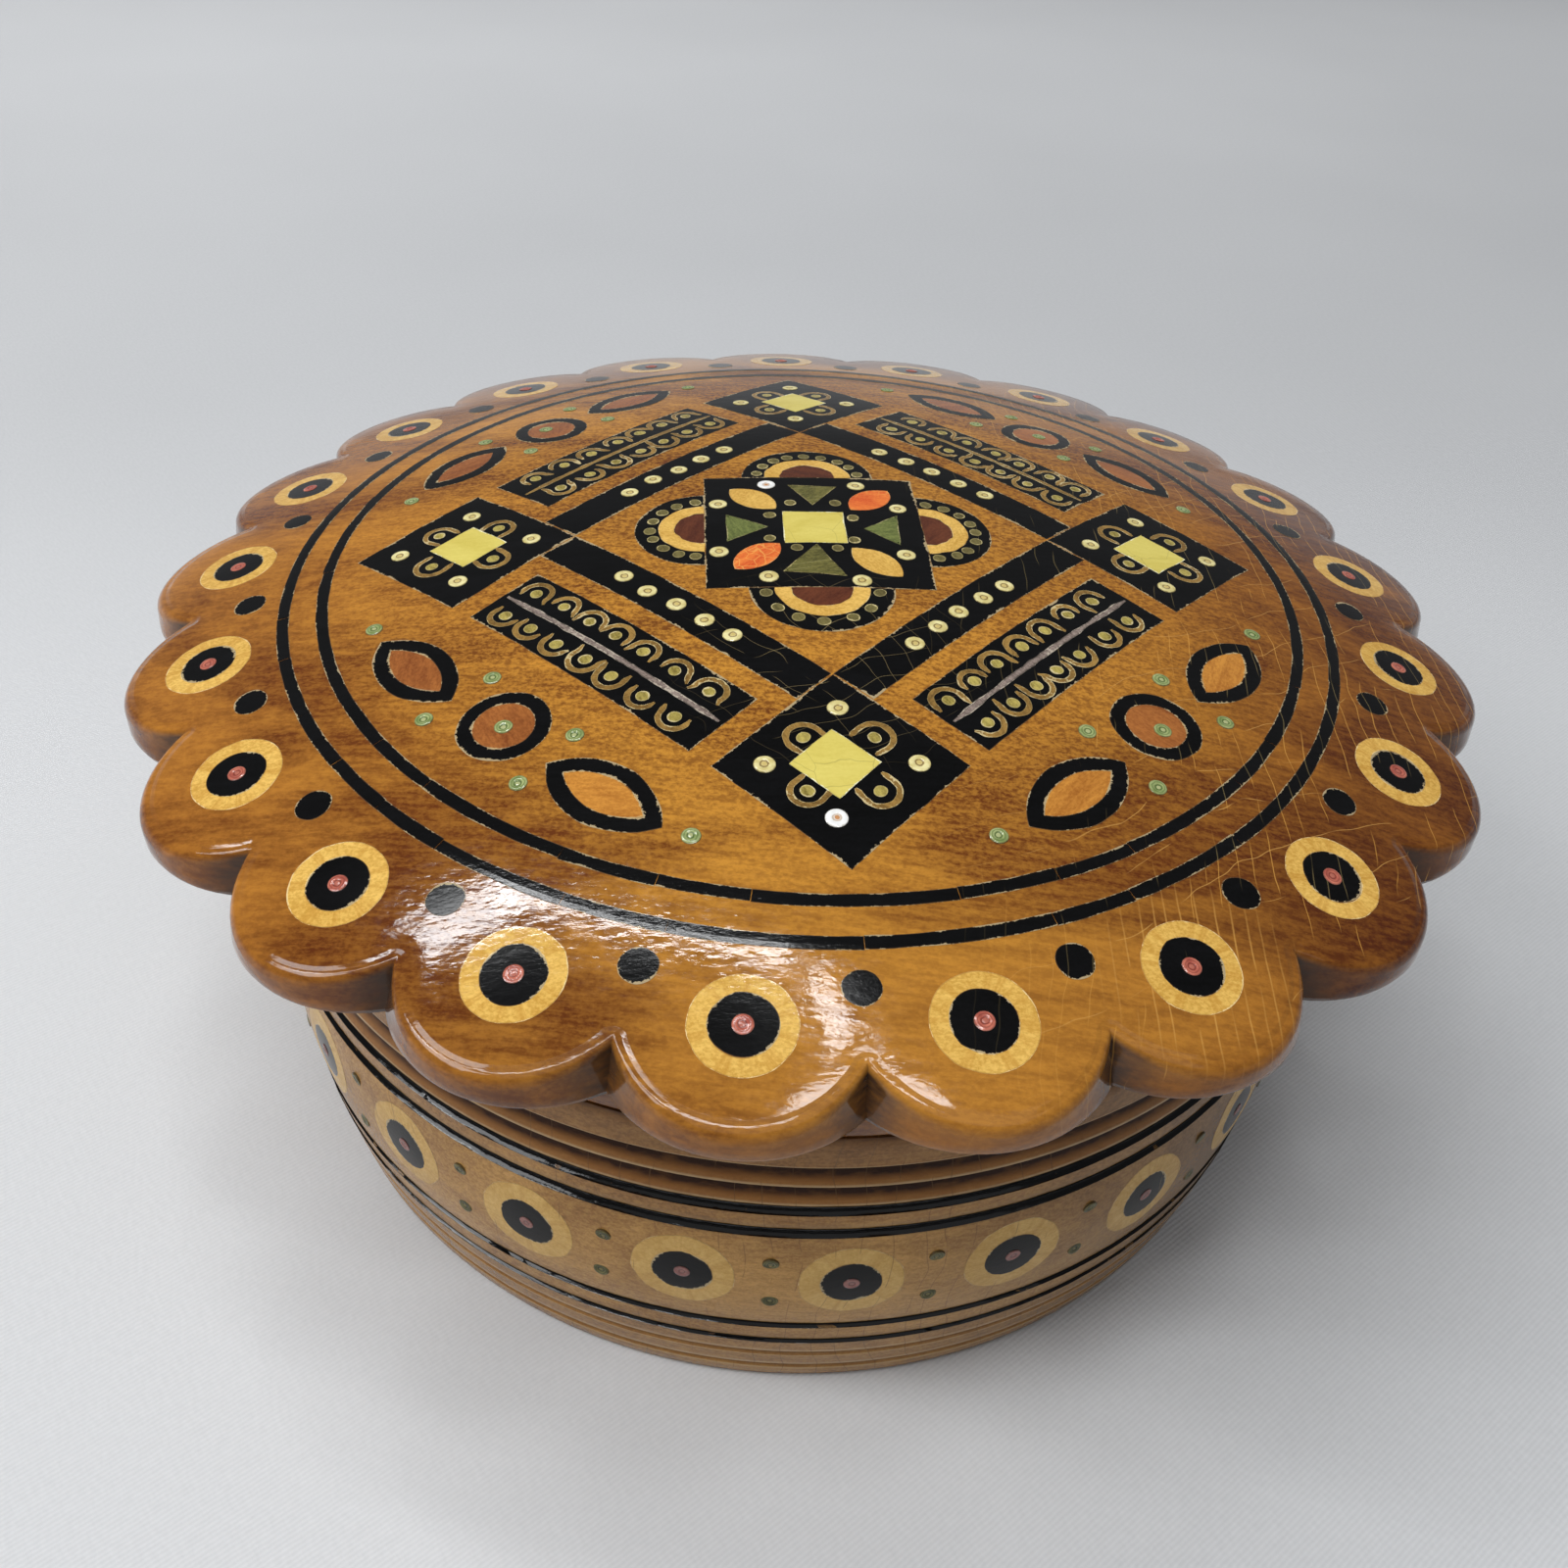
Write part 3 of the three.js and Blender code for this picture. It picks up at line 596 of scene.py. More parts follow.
def addSlab(sketch, outline, lay, rise, hole=None, depth=0.7, steps=4, wobble=0.09):
    seed = random.uniform(0, 500)
    grain = random.random()
    count = len(outline)
    spokes = spokeVectors(hole, seed) if hole else None

    def put(loop, edge, lift=rise):
        places = []
        for x, y in loop:
            push = noise.noise_vector(Vector((x * 0.42 + seed, y * 0.42, seed * 0.7))) * wobble
            push += noise.noise_vector(Vector((x * 1.6, y * 1.6 + seed, seed))) * wobble * 0.5
            places.append(lay(x + push.x, y + push.y, lift))
        return sketch.ring(places, edge, grain, spokes)

    if hole:
        inset = min(0.35, min(math.dist(a, b) for a, b in zip(outline, hole)) * 0.35)
        outer, inner = insetLoop(outline, inset), insetLoop(hole, -inset)
        steppedIn = [[between(a, b, k / steps) for a, b in zip(outer, inner)] for k in range(1, steps)]
    else:
        middle = middleOf(outline)
        inset = min(0.35, min(math.dist(point, middle) for point in outline) * 0.4)
        outer = insetLoop(outline, inset)
        steppedIn = [[between(point, middle, k / steps) for point in outer] for k in range(1, steps)]
    top = [put(outline, 0), put(outer, inset)] + [put(loop, 1) for loop in steppedIn]
    top += [put(inner, inset), put(hole, 0)] if hole else []
    for a, b in zip(top, top[1:]):
        sketch.band(a, b, count)
    if not hole:
        sketch.fan(put([middle], 1), top[-1], count)
    bottom = put(outline, 0, rise - depth)
    sketch.band(bottom, top[0], count)
    if hole:
        inside = put(hole, 0, rise - depth)
        sketch.band(top[-1], inside, count)
        sketch.band(inside, bottom, count)
    else:
        sketch.fan(put([middle], 0, rise - depth), bottom, count, up=False)


def addRibbon(sketch, path, width, lay, rise, depth=0.6, wobble=0.07, swing=0.22, taper=0):
    seed = random.uniform(0, 500)
    grain = random.random()
    across = [(-0.5, 0), (-0.2, width * 0.3), (0.2, width * 0.3), (0.5, 0)]
    rows = [[] for _ in across]
    count = len(path)
    for i, (x, y) in enumerate(path):
        ax, ay = path[max(i - 1, 0)]
        bx, by = path[min(i + 1, count - 1)]
        side = Vector((ay - by, bx - ax)).normalized()
        swell = 1 + swing * noise.noise(Vector((i * 0.35 + seed, seed, 0)))
        if taper:
            swell *= min(1, 0.4 + 0.6 * min(i, count - 1 - i) / taper)
        push = noise.noise_vector(Vector((x * 0.6 + seed, y * 0.6, seed))) * wobble
        for row, (share, _) in zip(rows, across):
            reach = share * width * swell
            row.append((x + push.x + side.x * reach, y + push.y + side.y * reach))

    def put(row, lift, edge):
        return sketch.ring([lay(x, y, lift) for x, y in row], edge, grain)

    starts = [put(row, rise, edge) for row, (_, edge) in zip(rows, across)]
    low = [put(row, rise - depth, 0) for row in (rows[0], rows[-1])]
    around = [low[1], *starts[::-1], low[0], low[1]]
    for a, b in zip(around, around[1:]):
        sketch.band(a, b, count, closed=False)
    for i in (0, count - 1):
        cap = [low[0] + i] + [start + i for start in starts] + [low[1] + i]
        sketch.faces.append(tuple(cap if i == 0 else cap[::-1]))


def polygon(corners, step=0.5):
    made = []
    for a, b in zip(corners, corners[1:] + corners[:1]):
        pieces = max(2, round(math.dist(a, b) / step))
        made += [between(a, b, k / pieces) for k in range(pieces)]
    return made


def rectangle(width, height, step=0.7):
    x, y = width / 2, height / 2
    return polygon([(-x, -y), (x, -y), (x, y), (-x, y)], step)


def circle(radius, count=48):
    return [polar(radius, fullTurn * k / count) for k in range(count)]


def halfDisc(radius, count=30):
    arc = [polar(radius, -quarterTurn + math.pi * k / count) for k in range(count + 1)]
    return arc + [(0, radius * (1 - 2 * k / 24)) for k in range(1, 24)]


def almond(size, width, grown=0.0, count=22):
    radius = (size ** 2 + width ** 2) / (4 * width)
    centre = radius - width / 2
    reach = math.acos(centre / (radius + grown))
    made = []
    for side, off in ((0, -centre), (math.pi, centre)):
        for k in range(count):
            x, y = polar(radius + grown, side - reach + 2 * reach * k / count)
            made.append((off + x, y))
    return made


def turnedBy(x, y, degrees):
    angle = math.radians(degrees)
    return x * math.cos(angle) - y * math.sin(angle), x * math.sin(angle) + y * math.cos(angle)


def placed(points, angle, out=0.0, aside=0.0, turn=0.0):
    own = [turnedBy(x, y, turn) for x, y in points]
    return [turnedBy(x + out, y + aside, angle) for x, y in own]


def spot(angle, out, aside=0.0):
    return turnedBy(out, aside, angle)


def newObject(name, points, faces, values, material=None):
    data = bpy.data.meshes.new(name)
    data.from_pydata([tuple(point * mm) for point in points], [], faces)
    for label, numbers in values.items():
        if isinstance(numbers[0], tuple):
            flat = [number for vector in numbers for number in vector]
            data.attributes.new(label, "FLOAT_VECTOR", "POINT").data.foreach_set("vector", flat)
        else:
            data.attributes.new(label, "FLOAT", "POINT").data.foreach_set("value", numbers)
    if material:
        data.materials.append(material)
    made = bpy.data.objects.new(name, data)
    scene.collection.objects.link(made)
    return made


def smoothed(made, sharpAngle=32):
    data = made.data
    data.polygons.foreach_set("use_smooth", [True] * len(data.polygons))
    data.set_sharp_from_angle(angle=math.radians(sharpAngle))
    data.update()


def finished(made, body, replaced=()):
    smoothed(made)
    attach(made, body)
    if replaced:
        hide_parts(*replaced)


def sketched(name, sketch, finish, replaced=(), body="lid"):
    made = newObject(name, sketch.points, sketch.faces, sketch.values, finishes[finish])
    finished(made, body, replaced)


def treeModifier(made, tree, values):
    modifier = made.modifiers.new(tree.name, "NODES")
    modifier.node_group = tree
    for item in tree.interface.items_tree:
        if item.item_type == "SOCKET" and item.in_out == "INPUT" and item.name in values:
            modifier[item.identifier] = values[item.name]


def settled(made):
    depsgraph = bpy.context.evaluated_depsgraph_get()
    data = bpy.data.meshes.new_from_object(made.evaluated_get(depsgraph), preserve_all_data_layers=True,
                                           depsgraph=depsgraph)
    made.modifiers.clear()
    made.data = data
    return made


def latheObject(name, profile, steps, material=None, labels=(), startAngle=0.0):
    points, faces, starts = [], [], []
    values = {label: [] for label in labels}
    for r, z, *marks in profile:
        count = 1 if r == 0 else steps
        starts.append((len(points), count))
        for label, mark in zip(labels, marks + [0] * len(labels)):
            values[label] += [mark] * count
        points += [Vector((*polar(r, startAngle + fullTurn * k / steps), z)) for k in range(count)]
    for (a, countA), (b, countB) in zip(starts, starts[1:]):
        for k in range(steps):
            j = (k + 1) % steps
            if countA == 1:
                faces.append((a, b + j, b + k))
            elif countB == 1:
                faces.append((a + k, a + j, b))
            else:
                faces.append((a + k, a + j, b + j, b + k))
    return newObject(name, points, faces, values, material)


# The turned base. Each row of a profile is radius, height and the shares of burnt colour, scorch and pale
# lip; the scorch is partly painted shade and the pale lip is a painted highlight.

def burntGroove(bottom, width, depth, strength):
    top = bottom + width
    start = wallRadius(bottom)
    deepZ = top - bodyShape["grooveLip"] * width
    deepR = wallRadius(top) - depth
    # The scorch is darkest in the deep cut under the lip: scorched wood with painted shade.
    made = [(start, bottom, 0, 0, 0.7)]
    for k in range(1, 8):
        share = k / 8
        made.append((start + (deepR - start) * share ** 1.25, bottom + (deepZ - bottom) * share,
                     strength * min(1, 0.3 + 1.4 * share), strength * min(1, max(0, share - 0.3) / 0.4)))
    made += [(deepR, deepZ, strength, strength),
             (wallRadius(top) - 0.5 * depth, top - 0.2 * bodyShape["grooveLip"] * width, strength, strength),
             # the pale lip share at each groove's edges is a painted highlight
             (wallRadius(top) - 0.1, top, 0.5 * strength, 0.3 * strength, 0.5),
             (wallRadius(top + 0.12), top + 0.12, 0, 0, 0.7)]
    return made


def roundGroove(bottom, width, depth, proud=0.0):
    made = []
    for k in range(9):
        share = k / 8
        sunk = depth * math.sin(math.pi * share ** 0.8) ** 0.7
        z = bottom + width * share
        # the pale lip share at the top edge is a painted highlight
        made.append((wallRadius(z) - sunk + proud, z, 0, 0.8 if 0 < k < 8 else 0.3, 0 if k < 8 else 0.25))
    return made


# Black grooves: bottom, width, depth. Burnt grooves also have a strength.
grooves = {
    "lowBurnt": [(2.9, 1.1, 0.5, 0.4), (6.7, 1.1, 0.5, 0.4)],
    "lowBlack": [(10.5, 1.05, 0.5), (14.25, 1.05, 0.5)],
    "highBlack": [(31.3, 1.5, 0.6), (34.9, 1.5, 0.6)],
    "highBurnt": [(36.55, 2.7, 0.9, 1.0), (39.5, 2.7, 0.9, 1.0)],
}


def baseProfile():
    shape = bodyShape
    edge, seam, worn, shoulder = (shape[key] for key in ("footEdge", "seam", "seamEdge", "shoulder"))
    collar, bowl = shape["collar"], shape["bowl"]
    made = [(0, 0, 0, 0), (30, 0, 0, 0), (60, 0, 0, 0)]
    for k in range(5):
        angle = quarterTurn * k / 4
        made.append((wallRadius(0) - edge * (1 - math.sin(angle)), edge * (1 - math.cos(angle)), 0, 0))
    z = edge
    for cut in sorted(sum(grooves.values(), [])):
        while z < cut[0] - 0.6:
            z += 0.55
            made.append((wallRadius(z), z, 0, 0))
        made += roundGroove(*cut) if len(cut) == 3 else burntGroove(*cut)
        z = cut[0] + cut[1] + 0.3
    while z < seam - worn - 0.5:
        made.append((wallRadius(z), z, 0, 0))
        z += 0.5
    top, bevel = seam + shape["collarHeight"], shape["collarEdge"]
    # the burnt and scorched colour on the seam edge is painted shade in the gap between lid and base
    made += [(shoulder, seam - worn, 0.3, 0.2), (shoulder - 0.2, seam - 0.2, 0.6, 0.7),
             (shoulder - worn, seam, 0.8, 1.0), (collar, seam, 0, 0.3),
             (collar, top - bevel, 0, 0), (collar - bevel, top, 0, 0), (bowl + bevel, top, 0, 0),
             (bowl, top - bevel, 0, 0)]
    corner, floor = shape["bowlCorner"], shape["floor"]
    for k in range(9):
        angle = quarterTurn * k / 8
        made.append((bowl - corner * (1 - math.cos(angle)), floor + corner * (1 - math.sin(angle)), 0, 0))
    return made + [(r, floor, 0, 0) for r in (36, 18, 0)]


base = latheObject("turnedBase", baseProfile(), 360, finishes["bodyWood"], ("burn", "scorchAndShade", "lip"))
finished(base, "base", ("base",))


def blackLines(name, cuts, steps=540, proud=0.08, thickness=0.5):
    sketch = Sketch()
    for cut in cuts:
        face = [(r, z) for r, z, *_ in roundGroove(*cut, proud=proud)]
        loop = face + [(r - thickness, z) for r, z in (face[-1], face[0])]
        rows = []
        for k in range(steps):
            angle = fullTurn * k / steps
            row = []
            for i, (r, z) in enumerate(loop):
                x, y = polar(r, angle)
                shift = 0.05 * noise.noise(Vector((x * 0.6, y * 0.6, z * 1.5)))
                row.append(Vector((*polar(r + (shift if i < len(face) else 0), angle), z + shift)))
            rows.append(sketch.ring(row, 1, 0.5))
        for k in range(steps):
            sketch.band(rows[(k + 1) % steps], rows[k], len(loop))
    sketched(name, sketch, "grooveBlack", body="base")


blackLines("bellyLines", grooves["lowBlack"] + grooves["highBlack"])
print("base: turned", len(base.data.polygons), "faces")


# The lid: a turned blank, then a tree that cuts the scallops into its rim

lidShape = {
    "tip": 80.0, "cusp": 73.5, "cuspFlare": 1.6, "count": 21, "stepsPerScallop": 24, "rimFrom": 62.4,
    "rounding": 1.4, "flange": 59.85, "underEdge": 0.7, "skirt": 66.8, "seam": 46.6, "rabbet": 63.4,
    "rabbetTop": 52.0, "hollow": 60.0, "thickness": 9.0, "tipSpread": 0.5,
}
rimLean = math.asin(lidShape["tip"] / dome["radius"])
edgeStart = lidShape["rounding"] * (1 - math.sin(rimLean))


def lidProfile():
    shape = lidShape
    rim, low, bend, thick = (shape[key] for key in ("rimFrom", "flange", "rounding", "thickness"))
    rows = [(0, dome["crown"], -1, 1, 1, 1, 1)]

    def plain(r, z):
        rows.append((r, z, -1, 0, 0, 1, shape["cusp"]))

    def shaped(reach, inset, drop, keep=0, z=0.0, flare=0):
        blank = rim + reach * (shape["tip"] - inset - rim)
        height = z if keep else domeHeight(blank + inset - edgeStart) - drop
        rows.append((blank, height, reach, inset, drop, keep, shape["cusp"] + shape["cuspFlare"] * flare))

    for r in range(2, 62, 2):
        plain(r, domeHeight(r))
    for k in range(12):
        shaped(k / 12, edgeStart, 0)
    for k in range(9):
        angle = rimLean + (quarterTurn - rimLean) * k / 8
        shaped(1, bend * (1 - math.sin(angle)), bend * (math.cos(rimLean) - math.cos(angle)))
    under = shape["underEdge"]
    for inset, up, flare in ((0, 1.5, 0.7), (0, under, 1), (0.2, 0.2, 1), (under, 0, 1)):
        shaped(1, inset, 0, 1, low + up, flare)
    skirt, seam, rabbet, hollow = (shape[key] for key in ("skirt", "seam", "rabbet", "hollow"))
    for r, z in ((70, low), (skirt + 0.3, low), (skirt + 0.09, low - 0.09), (skirt, low - 0.3), (skirt, 56),
                 (skirt, 52), (skirt, seam + 0.7), (skirt - 0.2, seam + 0.2), (skirt - 0.7, seam),
                 (rabbet, seam), (rabbet, shape["rabbetTop"]), (hollow, shape["rabbetTop"]),
                 (hollow, domeHeight(hollow) - thick - 3)):
        plain(r, z)
    for k in range(1, 6):
        angle = quarterTurn * k / 5
        r = hollow - 4 * (1 - math.cos(angle))
        plain(r, domeHeight(r) - thick - 3 * (1 - math.sin(angle)))
    for r in (48, 38, 28, 18, 8):
        plain(r, domeHeight(r) - thick)
    rows.append((0, dome["crown"] - thick, -1, 1, 1, 1, 1))
    return rows[::-1]


def scallopTree():
    tree, given, made = newGroup("cut scallops", "GeometryNodeTree", {
        "Geometry": "Geometry", "Scallops": 21.0, "Tip Radius": 80.0, "Tip Spread": 0.5, "Rim From": 62.4,
        "Edge Start": 1.0, "Dome Radius": 270.0, "Crown": 75.2, "Seed": 3.0,
    }, {"Geometry": "Geometry"})
    share, inset, dropped, keep, cusp = (
        signal(tree, "GeometryNodeInputNamedAttribute", {"Name": label}, data_type="FLOAT")
        for label in ("reach", "inset", "drop", "keep", "cusp"))
    count, start, sphere = given["Scallops"], given["Rim From"], given["Dome Radius"]
    x, y, z = split(signal(tree, "GeometryNodeInputPosition"))
    angle = calc("ARCTAN2", y, x)
    turns = (angle + quarterTurn) * (count / fullTurn) + 1e-4
    local = (calc("FRACT", turns) - 0.5) * (fullTurn / count)
    lobe = calc("FLOORED_MODULO", calc("FLOOR", turns), count)
    chance = signal(tree, "ShaderNodeTexWhiteNoise", {"W": lobe + given["Seed"]}, noise_dimensions="1D")
    tip = given["Tip Radius"] - chance * given["Tip Spread"]
    half = math.pi / count
    chord = cusp * calc("SINE", half)
    rise = tip - cusp * calc("COSINE", half)
    radius = (chord * chord + rise * rise) / (rise * 2.0)
    centre = tip - radius
    side = centre * calc("SINE", local)
    edge = centre * calc("COSINE", local) + calc("SQRT", radius * radius - side * side)
    reach = start + (edge - inset - start) * share
    fromAxis = reach + inset - given["Edge Start"]
    drop = calc("SQRT", sphere * sphere - fromAxis * fromAxis) - (sphere + dropped)
    height = z * (1 / mm) * keep + (given["Crown"] + drop) * (1.0 - keep)
    moved = signal(tree, "ShaderNodeCombineXYZ", {
        "X": reach * mm * calc("COSINE", angle), "Y": reach * mm * calc("SINE", angle), "Z": height * mm})
    onRim = signal(tree, "FunctionNodeCompare", {0: share, 1: 0.0}, data_type="FLOAT",
                   operation="GREATER_EQUAL")
    onWall = calc("GREATER_THAN", share, 0.999) * calc("MAXIMUM", keep, ramp(dropped, 0.2, 0.9))
    # painted shade: the walls darken towards each cusp, in the notch between two scallops
    nearCusp = ramp(calc("ABSOLUTE", local) / half, 0.6, 1.0, 0.0, 0.9, smooth=True)
    withNotchShade = signal(tree, "GeometryNodeStoreNamedAttribute", {
        "Geometry": given["Geometry"], "Name": "notch", "Value": nearCusp * onWall,
    }, data_type="FLOAT", domain="POINT")
    feed(signal(tree, "GeometryNodeSetPosition", {
        "Geometry": withNotchShade, "Selection": onRim, "Position": moved}), made["Geometry"])
    return tree


lid = latheObject("scallopedLid", lidProfile(), lidShape["count"] * lidShape["stepsPerScallop"],
                  finishes["lidWood"], ("reach", "inset", "drop", "keep", "cusp"), -quarterTurn)
treeModifier(lid, scallopTree(), {
    "Scallops": float(lidShape["count"]), "Tip Radius": lidShape["tip"], "Tip Spread": lidShape["tipSpread"],
    "Rim From": lidShape["rimFrom"], "Edge Start": edgeStart,
    "Dome Radius": dome["radius"], "Crown": dome["crown"],
})
finished(settled(lid), "lid", ("lid",))
print("lid: cut", lidShape["count"], "scallops,", len(lid.data.polygons), "faces")


# Black inlay of the field

level = {"black": 0.03, "onBlack": 0.055, "wood": 0.02}
field = {
    "innerLine": 57.3, "outerLine": 61.7, "lineWidth": 1.4, "frame": 20.0, "barWidth": 5.45,
    "cornerSide": 18.2, "panelInner": 28.25, "panelHalf": 17.0, "middleHalf": 13.0, "halfRoundel": 8.25,
    "ringCentre": 47.5, "ringOuter": 4.9, "ringInner": 3.2, "almondLength": 14.7, "almondWidth": 7.7,
    "almondBand": 1.8, "almondTurn": 6.5, "almondAside": 14.65, "tile": 6.5, "middleTile": 7.4,
}
frameOuter = field["frame"] + field["cornerSide"]
cornerOut = math.sqrt(2) * (field["frame"] + field["cornerSide"] / 2)
axes = (-90, 0, 90, 180)
diagonals = (-45, 45, 135, 225)


def lineRing(name, radius, node, seed):
    random.seed(seed)
    sketch = Sketch()
    angle = 0.0
    while angle < fullTurn - 0.001:
        span = random.uniform(0.13, 0.34)
        if angle + span > fullTurn - 0.13:
            span = fullTurn - angle
        out = radius + random.uniform(-0.06, 0.06)
        count = max(4, int(span / 0.02))
        path = [polar(out, angle + (span - 0.0009) * k / count) for k in range(count + 1)]
        addRibbon(sketch, path[::-1], field["lineWidth"], onDome, level["black"], wobble=0.045, swing=0.12)
        angle += span
    sketched(name, sketch, "blackLineWood", (node,))


lineRing("innerLine", field["innerLine"], "inner_line", 11)
lineRing("outerLine", field["outerLine"], "outer_line", 12)


def blackPiece(name, outline, hole=None, lift=0.0, **look):
    piece = Sketch()
    addSlab(piece, outline, onDome, level["black"] + lift, hole, **look)
    node = "".join("_" + mark.lower() if mark.isupper() or mark.isdigit() else mark for mark in name)
    sketched(name, piece, "blackWood", (node,))


def square(side):
    return rectangle(side, side)


def eyeCircle(angle, radius):
    return placed(circle(radius), angle, field["ringCentre"])


def eyeAlmond(angle, hand, grown=0.0):
    return placed(almond(field["almondLength"], field["almondWidth"], grown), angle, field["ringCentre"],
                  hand * field["almondAside"], hand * field["almondTurn"])


for k, angle in enumerate(diagonals, 1):
    bar = rectangle(field["barWidth"], 2 * field["frame"] - 0.3)
    blackPiece(f"frameBar{k}", placed(bar, angle, field["frame"] + field["barWidth"] / 2), steps=8)
    depth = frameOuter - field["panelInner"]
    panel = rectangle(depth, 2 * field["panelHalf"])
    blackPiece(f"loopPanel{k}", placed(panel, angle, field["panelInner"] + depth / 2), steps=7)
    ring = [eyeCircle(angle, field[key]) for key in ("ringOuter", "ringInner")]
    blackPiece(f"fieldRing{k}", *ring, wobble=0.1)
    for hand, side in ((-1, "Left"), (1, "Right")):
        shape = [eyeAlmond(angle, hand, -band) for band in (0.0, field["almondBand"])]
        blackPiece(f"almond{side}{k}", *shape, wobble=0.1)
for k, angle in enumerate(axes, 1):
    corner = placed(square(field["cornerSide"]), angle, cornerOut, turn=45)
    blackPiece(f"cornerSquare{k}", corner, steps=6)
    blackPiece(f"halfRoundel{k}", placed(halfDisc(field["halfRoundel"]), angle, field["middleHalf"]))
blackPiece("middleSquare", square(2 * field["middleHalf"]), lift=0.01, steps=7)
print("black inlay: laid")


# Coloured inlay

def addInlay(sketch, outline, rise=level["onBlack"], **look):
    addSlab(sketch, outline, onDome, rise, **look)


tiles, middleTile = Sketch(), Sketch()
for angle in axes:
    out, aside = (-0.1, -0.6) if angle == -90 else (random.uniform(-0.3, 0.3), random.uniform(-0.3, 0.3))
    addInlay(tiles, placed(square(field["tile"]), angle, cornerOut + out, aside, 45 + random.uniform(-2, 2)))
sketched("cornerTiles", tiles, "lemonWood", tuple(f"corner_tile_{k}" for k in (1, 2, 3, 4)))
addInlay(middleTile, square(field["middleTile"]))
sketched("middleTile", middleTile, "lemonWood", ("middle_tile",))

unit = 70.0    # the cross and the rows of beads are laid out in shares of the bullseyes' circle
cross = {
    "triangles": [
        ([(-0.149, 0.045), (-0.149, -0.047), (-0.078, 0.0)], "sageWood"),
        ([(0.147, 0.047), (0.085, -0.004), (0.141, -0.0546)], "sageWood"),
        ([(-0.038, 0.155), (0.002, 0.077), (0.05, 0.149)], "oliveWood"),
        ([(-0.0597, -0.14), (0.0427, -0.1536), (0.0, -0.0555)], "oliveWood"),
    ],
    "petals": [
        ((-0.141, 0.139), (-0.062, 0.064), "yellowWood"), ((0.14, 0.139), (0.067, 0.062), "orangeWood"),
        ((-0.139, -0.132), (-0.062, -0.055), "orangeWood"),
        ((0.0576, -0.068), (0.134, -0.1515), "yellowWood"),
    ],
    "beads": [(0.0845, 0.154), (-0.162, 0.083), (0.1506, 0.0717), (-0.163, -0.079), (0.147, -0.0853),
              (-0.084, -0.1557), (0.066, -0.1664)],
    "dots": [(-0.036, 0.085), (0.042, 0.085), (-0.0747, 0.0405), (0.068, 0.032), (-0.077, -0.038),
             (0.065, -0.043), (-0.034, -0.068), (0.034, -0.070)],
    "whiteBead": (-0.075, 0.156), "petalWidth": 4.2, "halfRing": (5.4, 3.5), "halfDots": 6.45,
}


def inUnits(points):
    return [(x * unit, y * unit) for x, y in points]


triangles = {"sageWood": Sketch(), "oliveWood": Sketch()}
for corners, finish in cross["triangles"]:
    addInlay(triangles[finish], polygon(inUnits(corners), 0.4))
sketched("sageTriangles", triangles["sageWood"], "sageWood")
sketched("oliveTriangles", triangles["oliveWood"], "oliveWood")

petals = {"yellowWood": Sketch(), "orangeWood": Sketch()}
for *ends, finish in cross["petals"]:
    start, end = inUnits(ends)
    turn = math.degrees(math.atan2(end[1] - start[1], end[0] - start[0])) - 90
    shape = placed(almond(math.dist(start, end), cross["petalWidth"], count=16), 0, turn=turn)
    cx, cy = between(start, end, 0.5)
    addInlay(petals[finish], [(x + cx, y + cy) for x, y in shape])
sketched("yellowPetals", petals["yellowWood"], "yellowWood")
sketched("orangePetals", petals["orangeWood"], "orangeWood")

halfRings, cores = Sketch(), Sketch()
outer, inner = cross["halfRing"]
halfOut = field["middleHalf"] + 0.05
for angle in axes:
    arc = [polar((outer + inner) / 2, math.pi * k / 30 - quarterTurn) for k in range(31)]
    addRibbon(halfRings, placed(arc[::-1], angle, halfOut), outer - inner, onDome, level["onBlack"])
    addInlay(cores, placed(halfDisc(inner), angle, halfOut), level["onBlack"] - 0.01)
sketched("halfRings", halfRings, "yellowWood")
sketched("halfCores", cores, "brownWood")

eyeCores = {"redBrownWood": Sketch(), "amberWood": Sketch()}
for angle in diagonals:
    addInlay(eyeCores["redBrownWood"], eyeCircle(angle, field["ringInner"] + 0.05), level["wood"])
    for hand in (-1, 1):
        near = angle == -45 or (angle == 225 and hand == 1)
        addInlay(eyeCores["amberWood" if near else "redBrownWood"],
                 eyeAlmond(angle, hand, 0.05 - field["almondBand"]), level["wood"])
sketched("redCores", eyeCores["redBrownWood"], "redBrownWood")
sketched("amberCores", eyeCores["amberWood"], "amberWood")

# Loops of thin wood round the dots

loops = {"radius": 1.68, "band": 0.66, "reach": 96, "tail": 1.5, "rows": (30.8, 35.8),
         "along": (-0.201, -0.138, -0.078, -0.018, 0.045, 0.113, 0.182), "strip": 33.25, "stripWidth": 0.68}
cornerLoops = {"offset": 3.55, "radius": 1.82, "band": 0.66, "reach": 92, "leg": 1.7}


def archPath(radius, reach, legs, flare=-0.1):
    path = []
    for k in range(25):
        x, y = polar(radius, math.radians(reach * (k / 12 - 1)))
        path.append((-x, y))
    for leg, end in zip(legs, (0, -1)):
        x, y = path[end]
        steps = max(1, round(leg / 0.25))
        extra = [(x + leg * k / steps, y + flare * math.copysign(leg, y) * (k / steps) ** 1.5)
                 for k in range(1, steps + 1)]
        path = extra[::-1] + path if end == 0 else path + extra
    return path


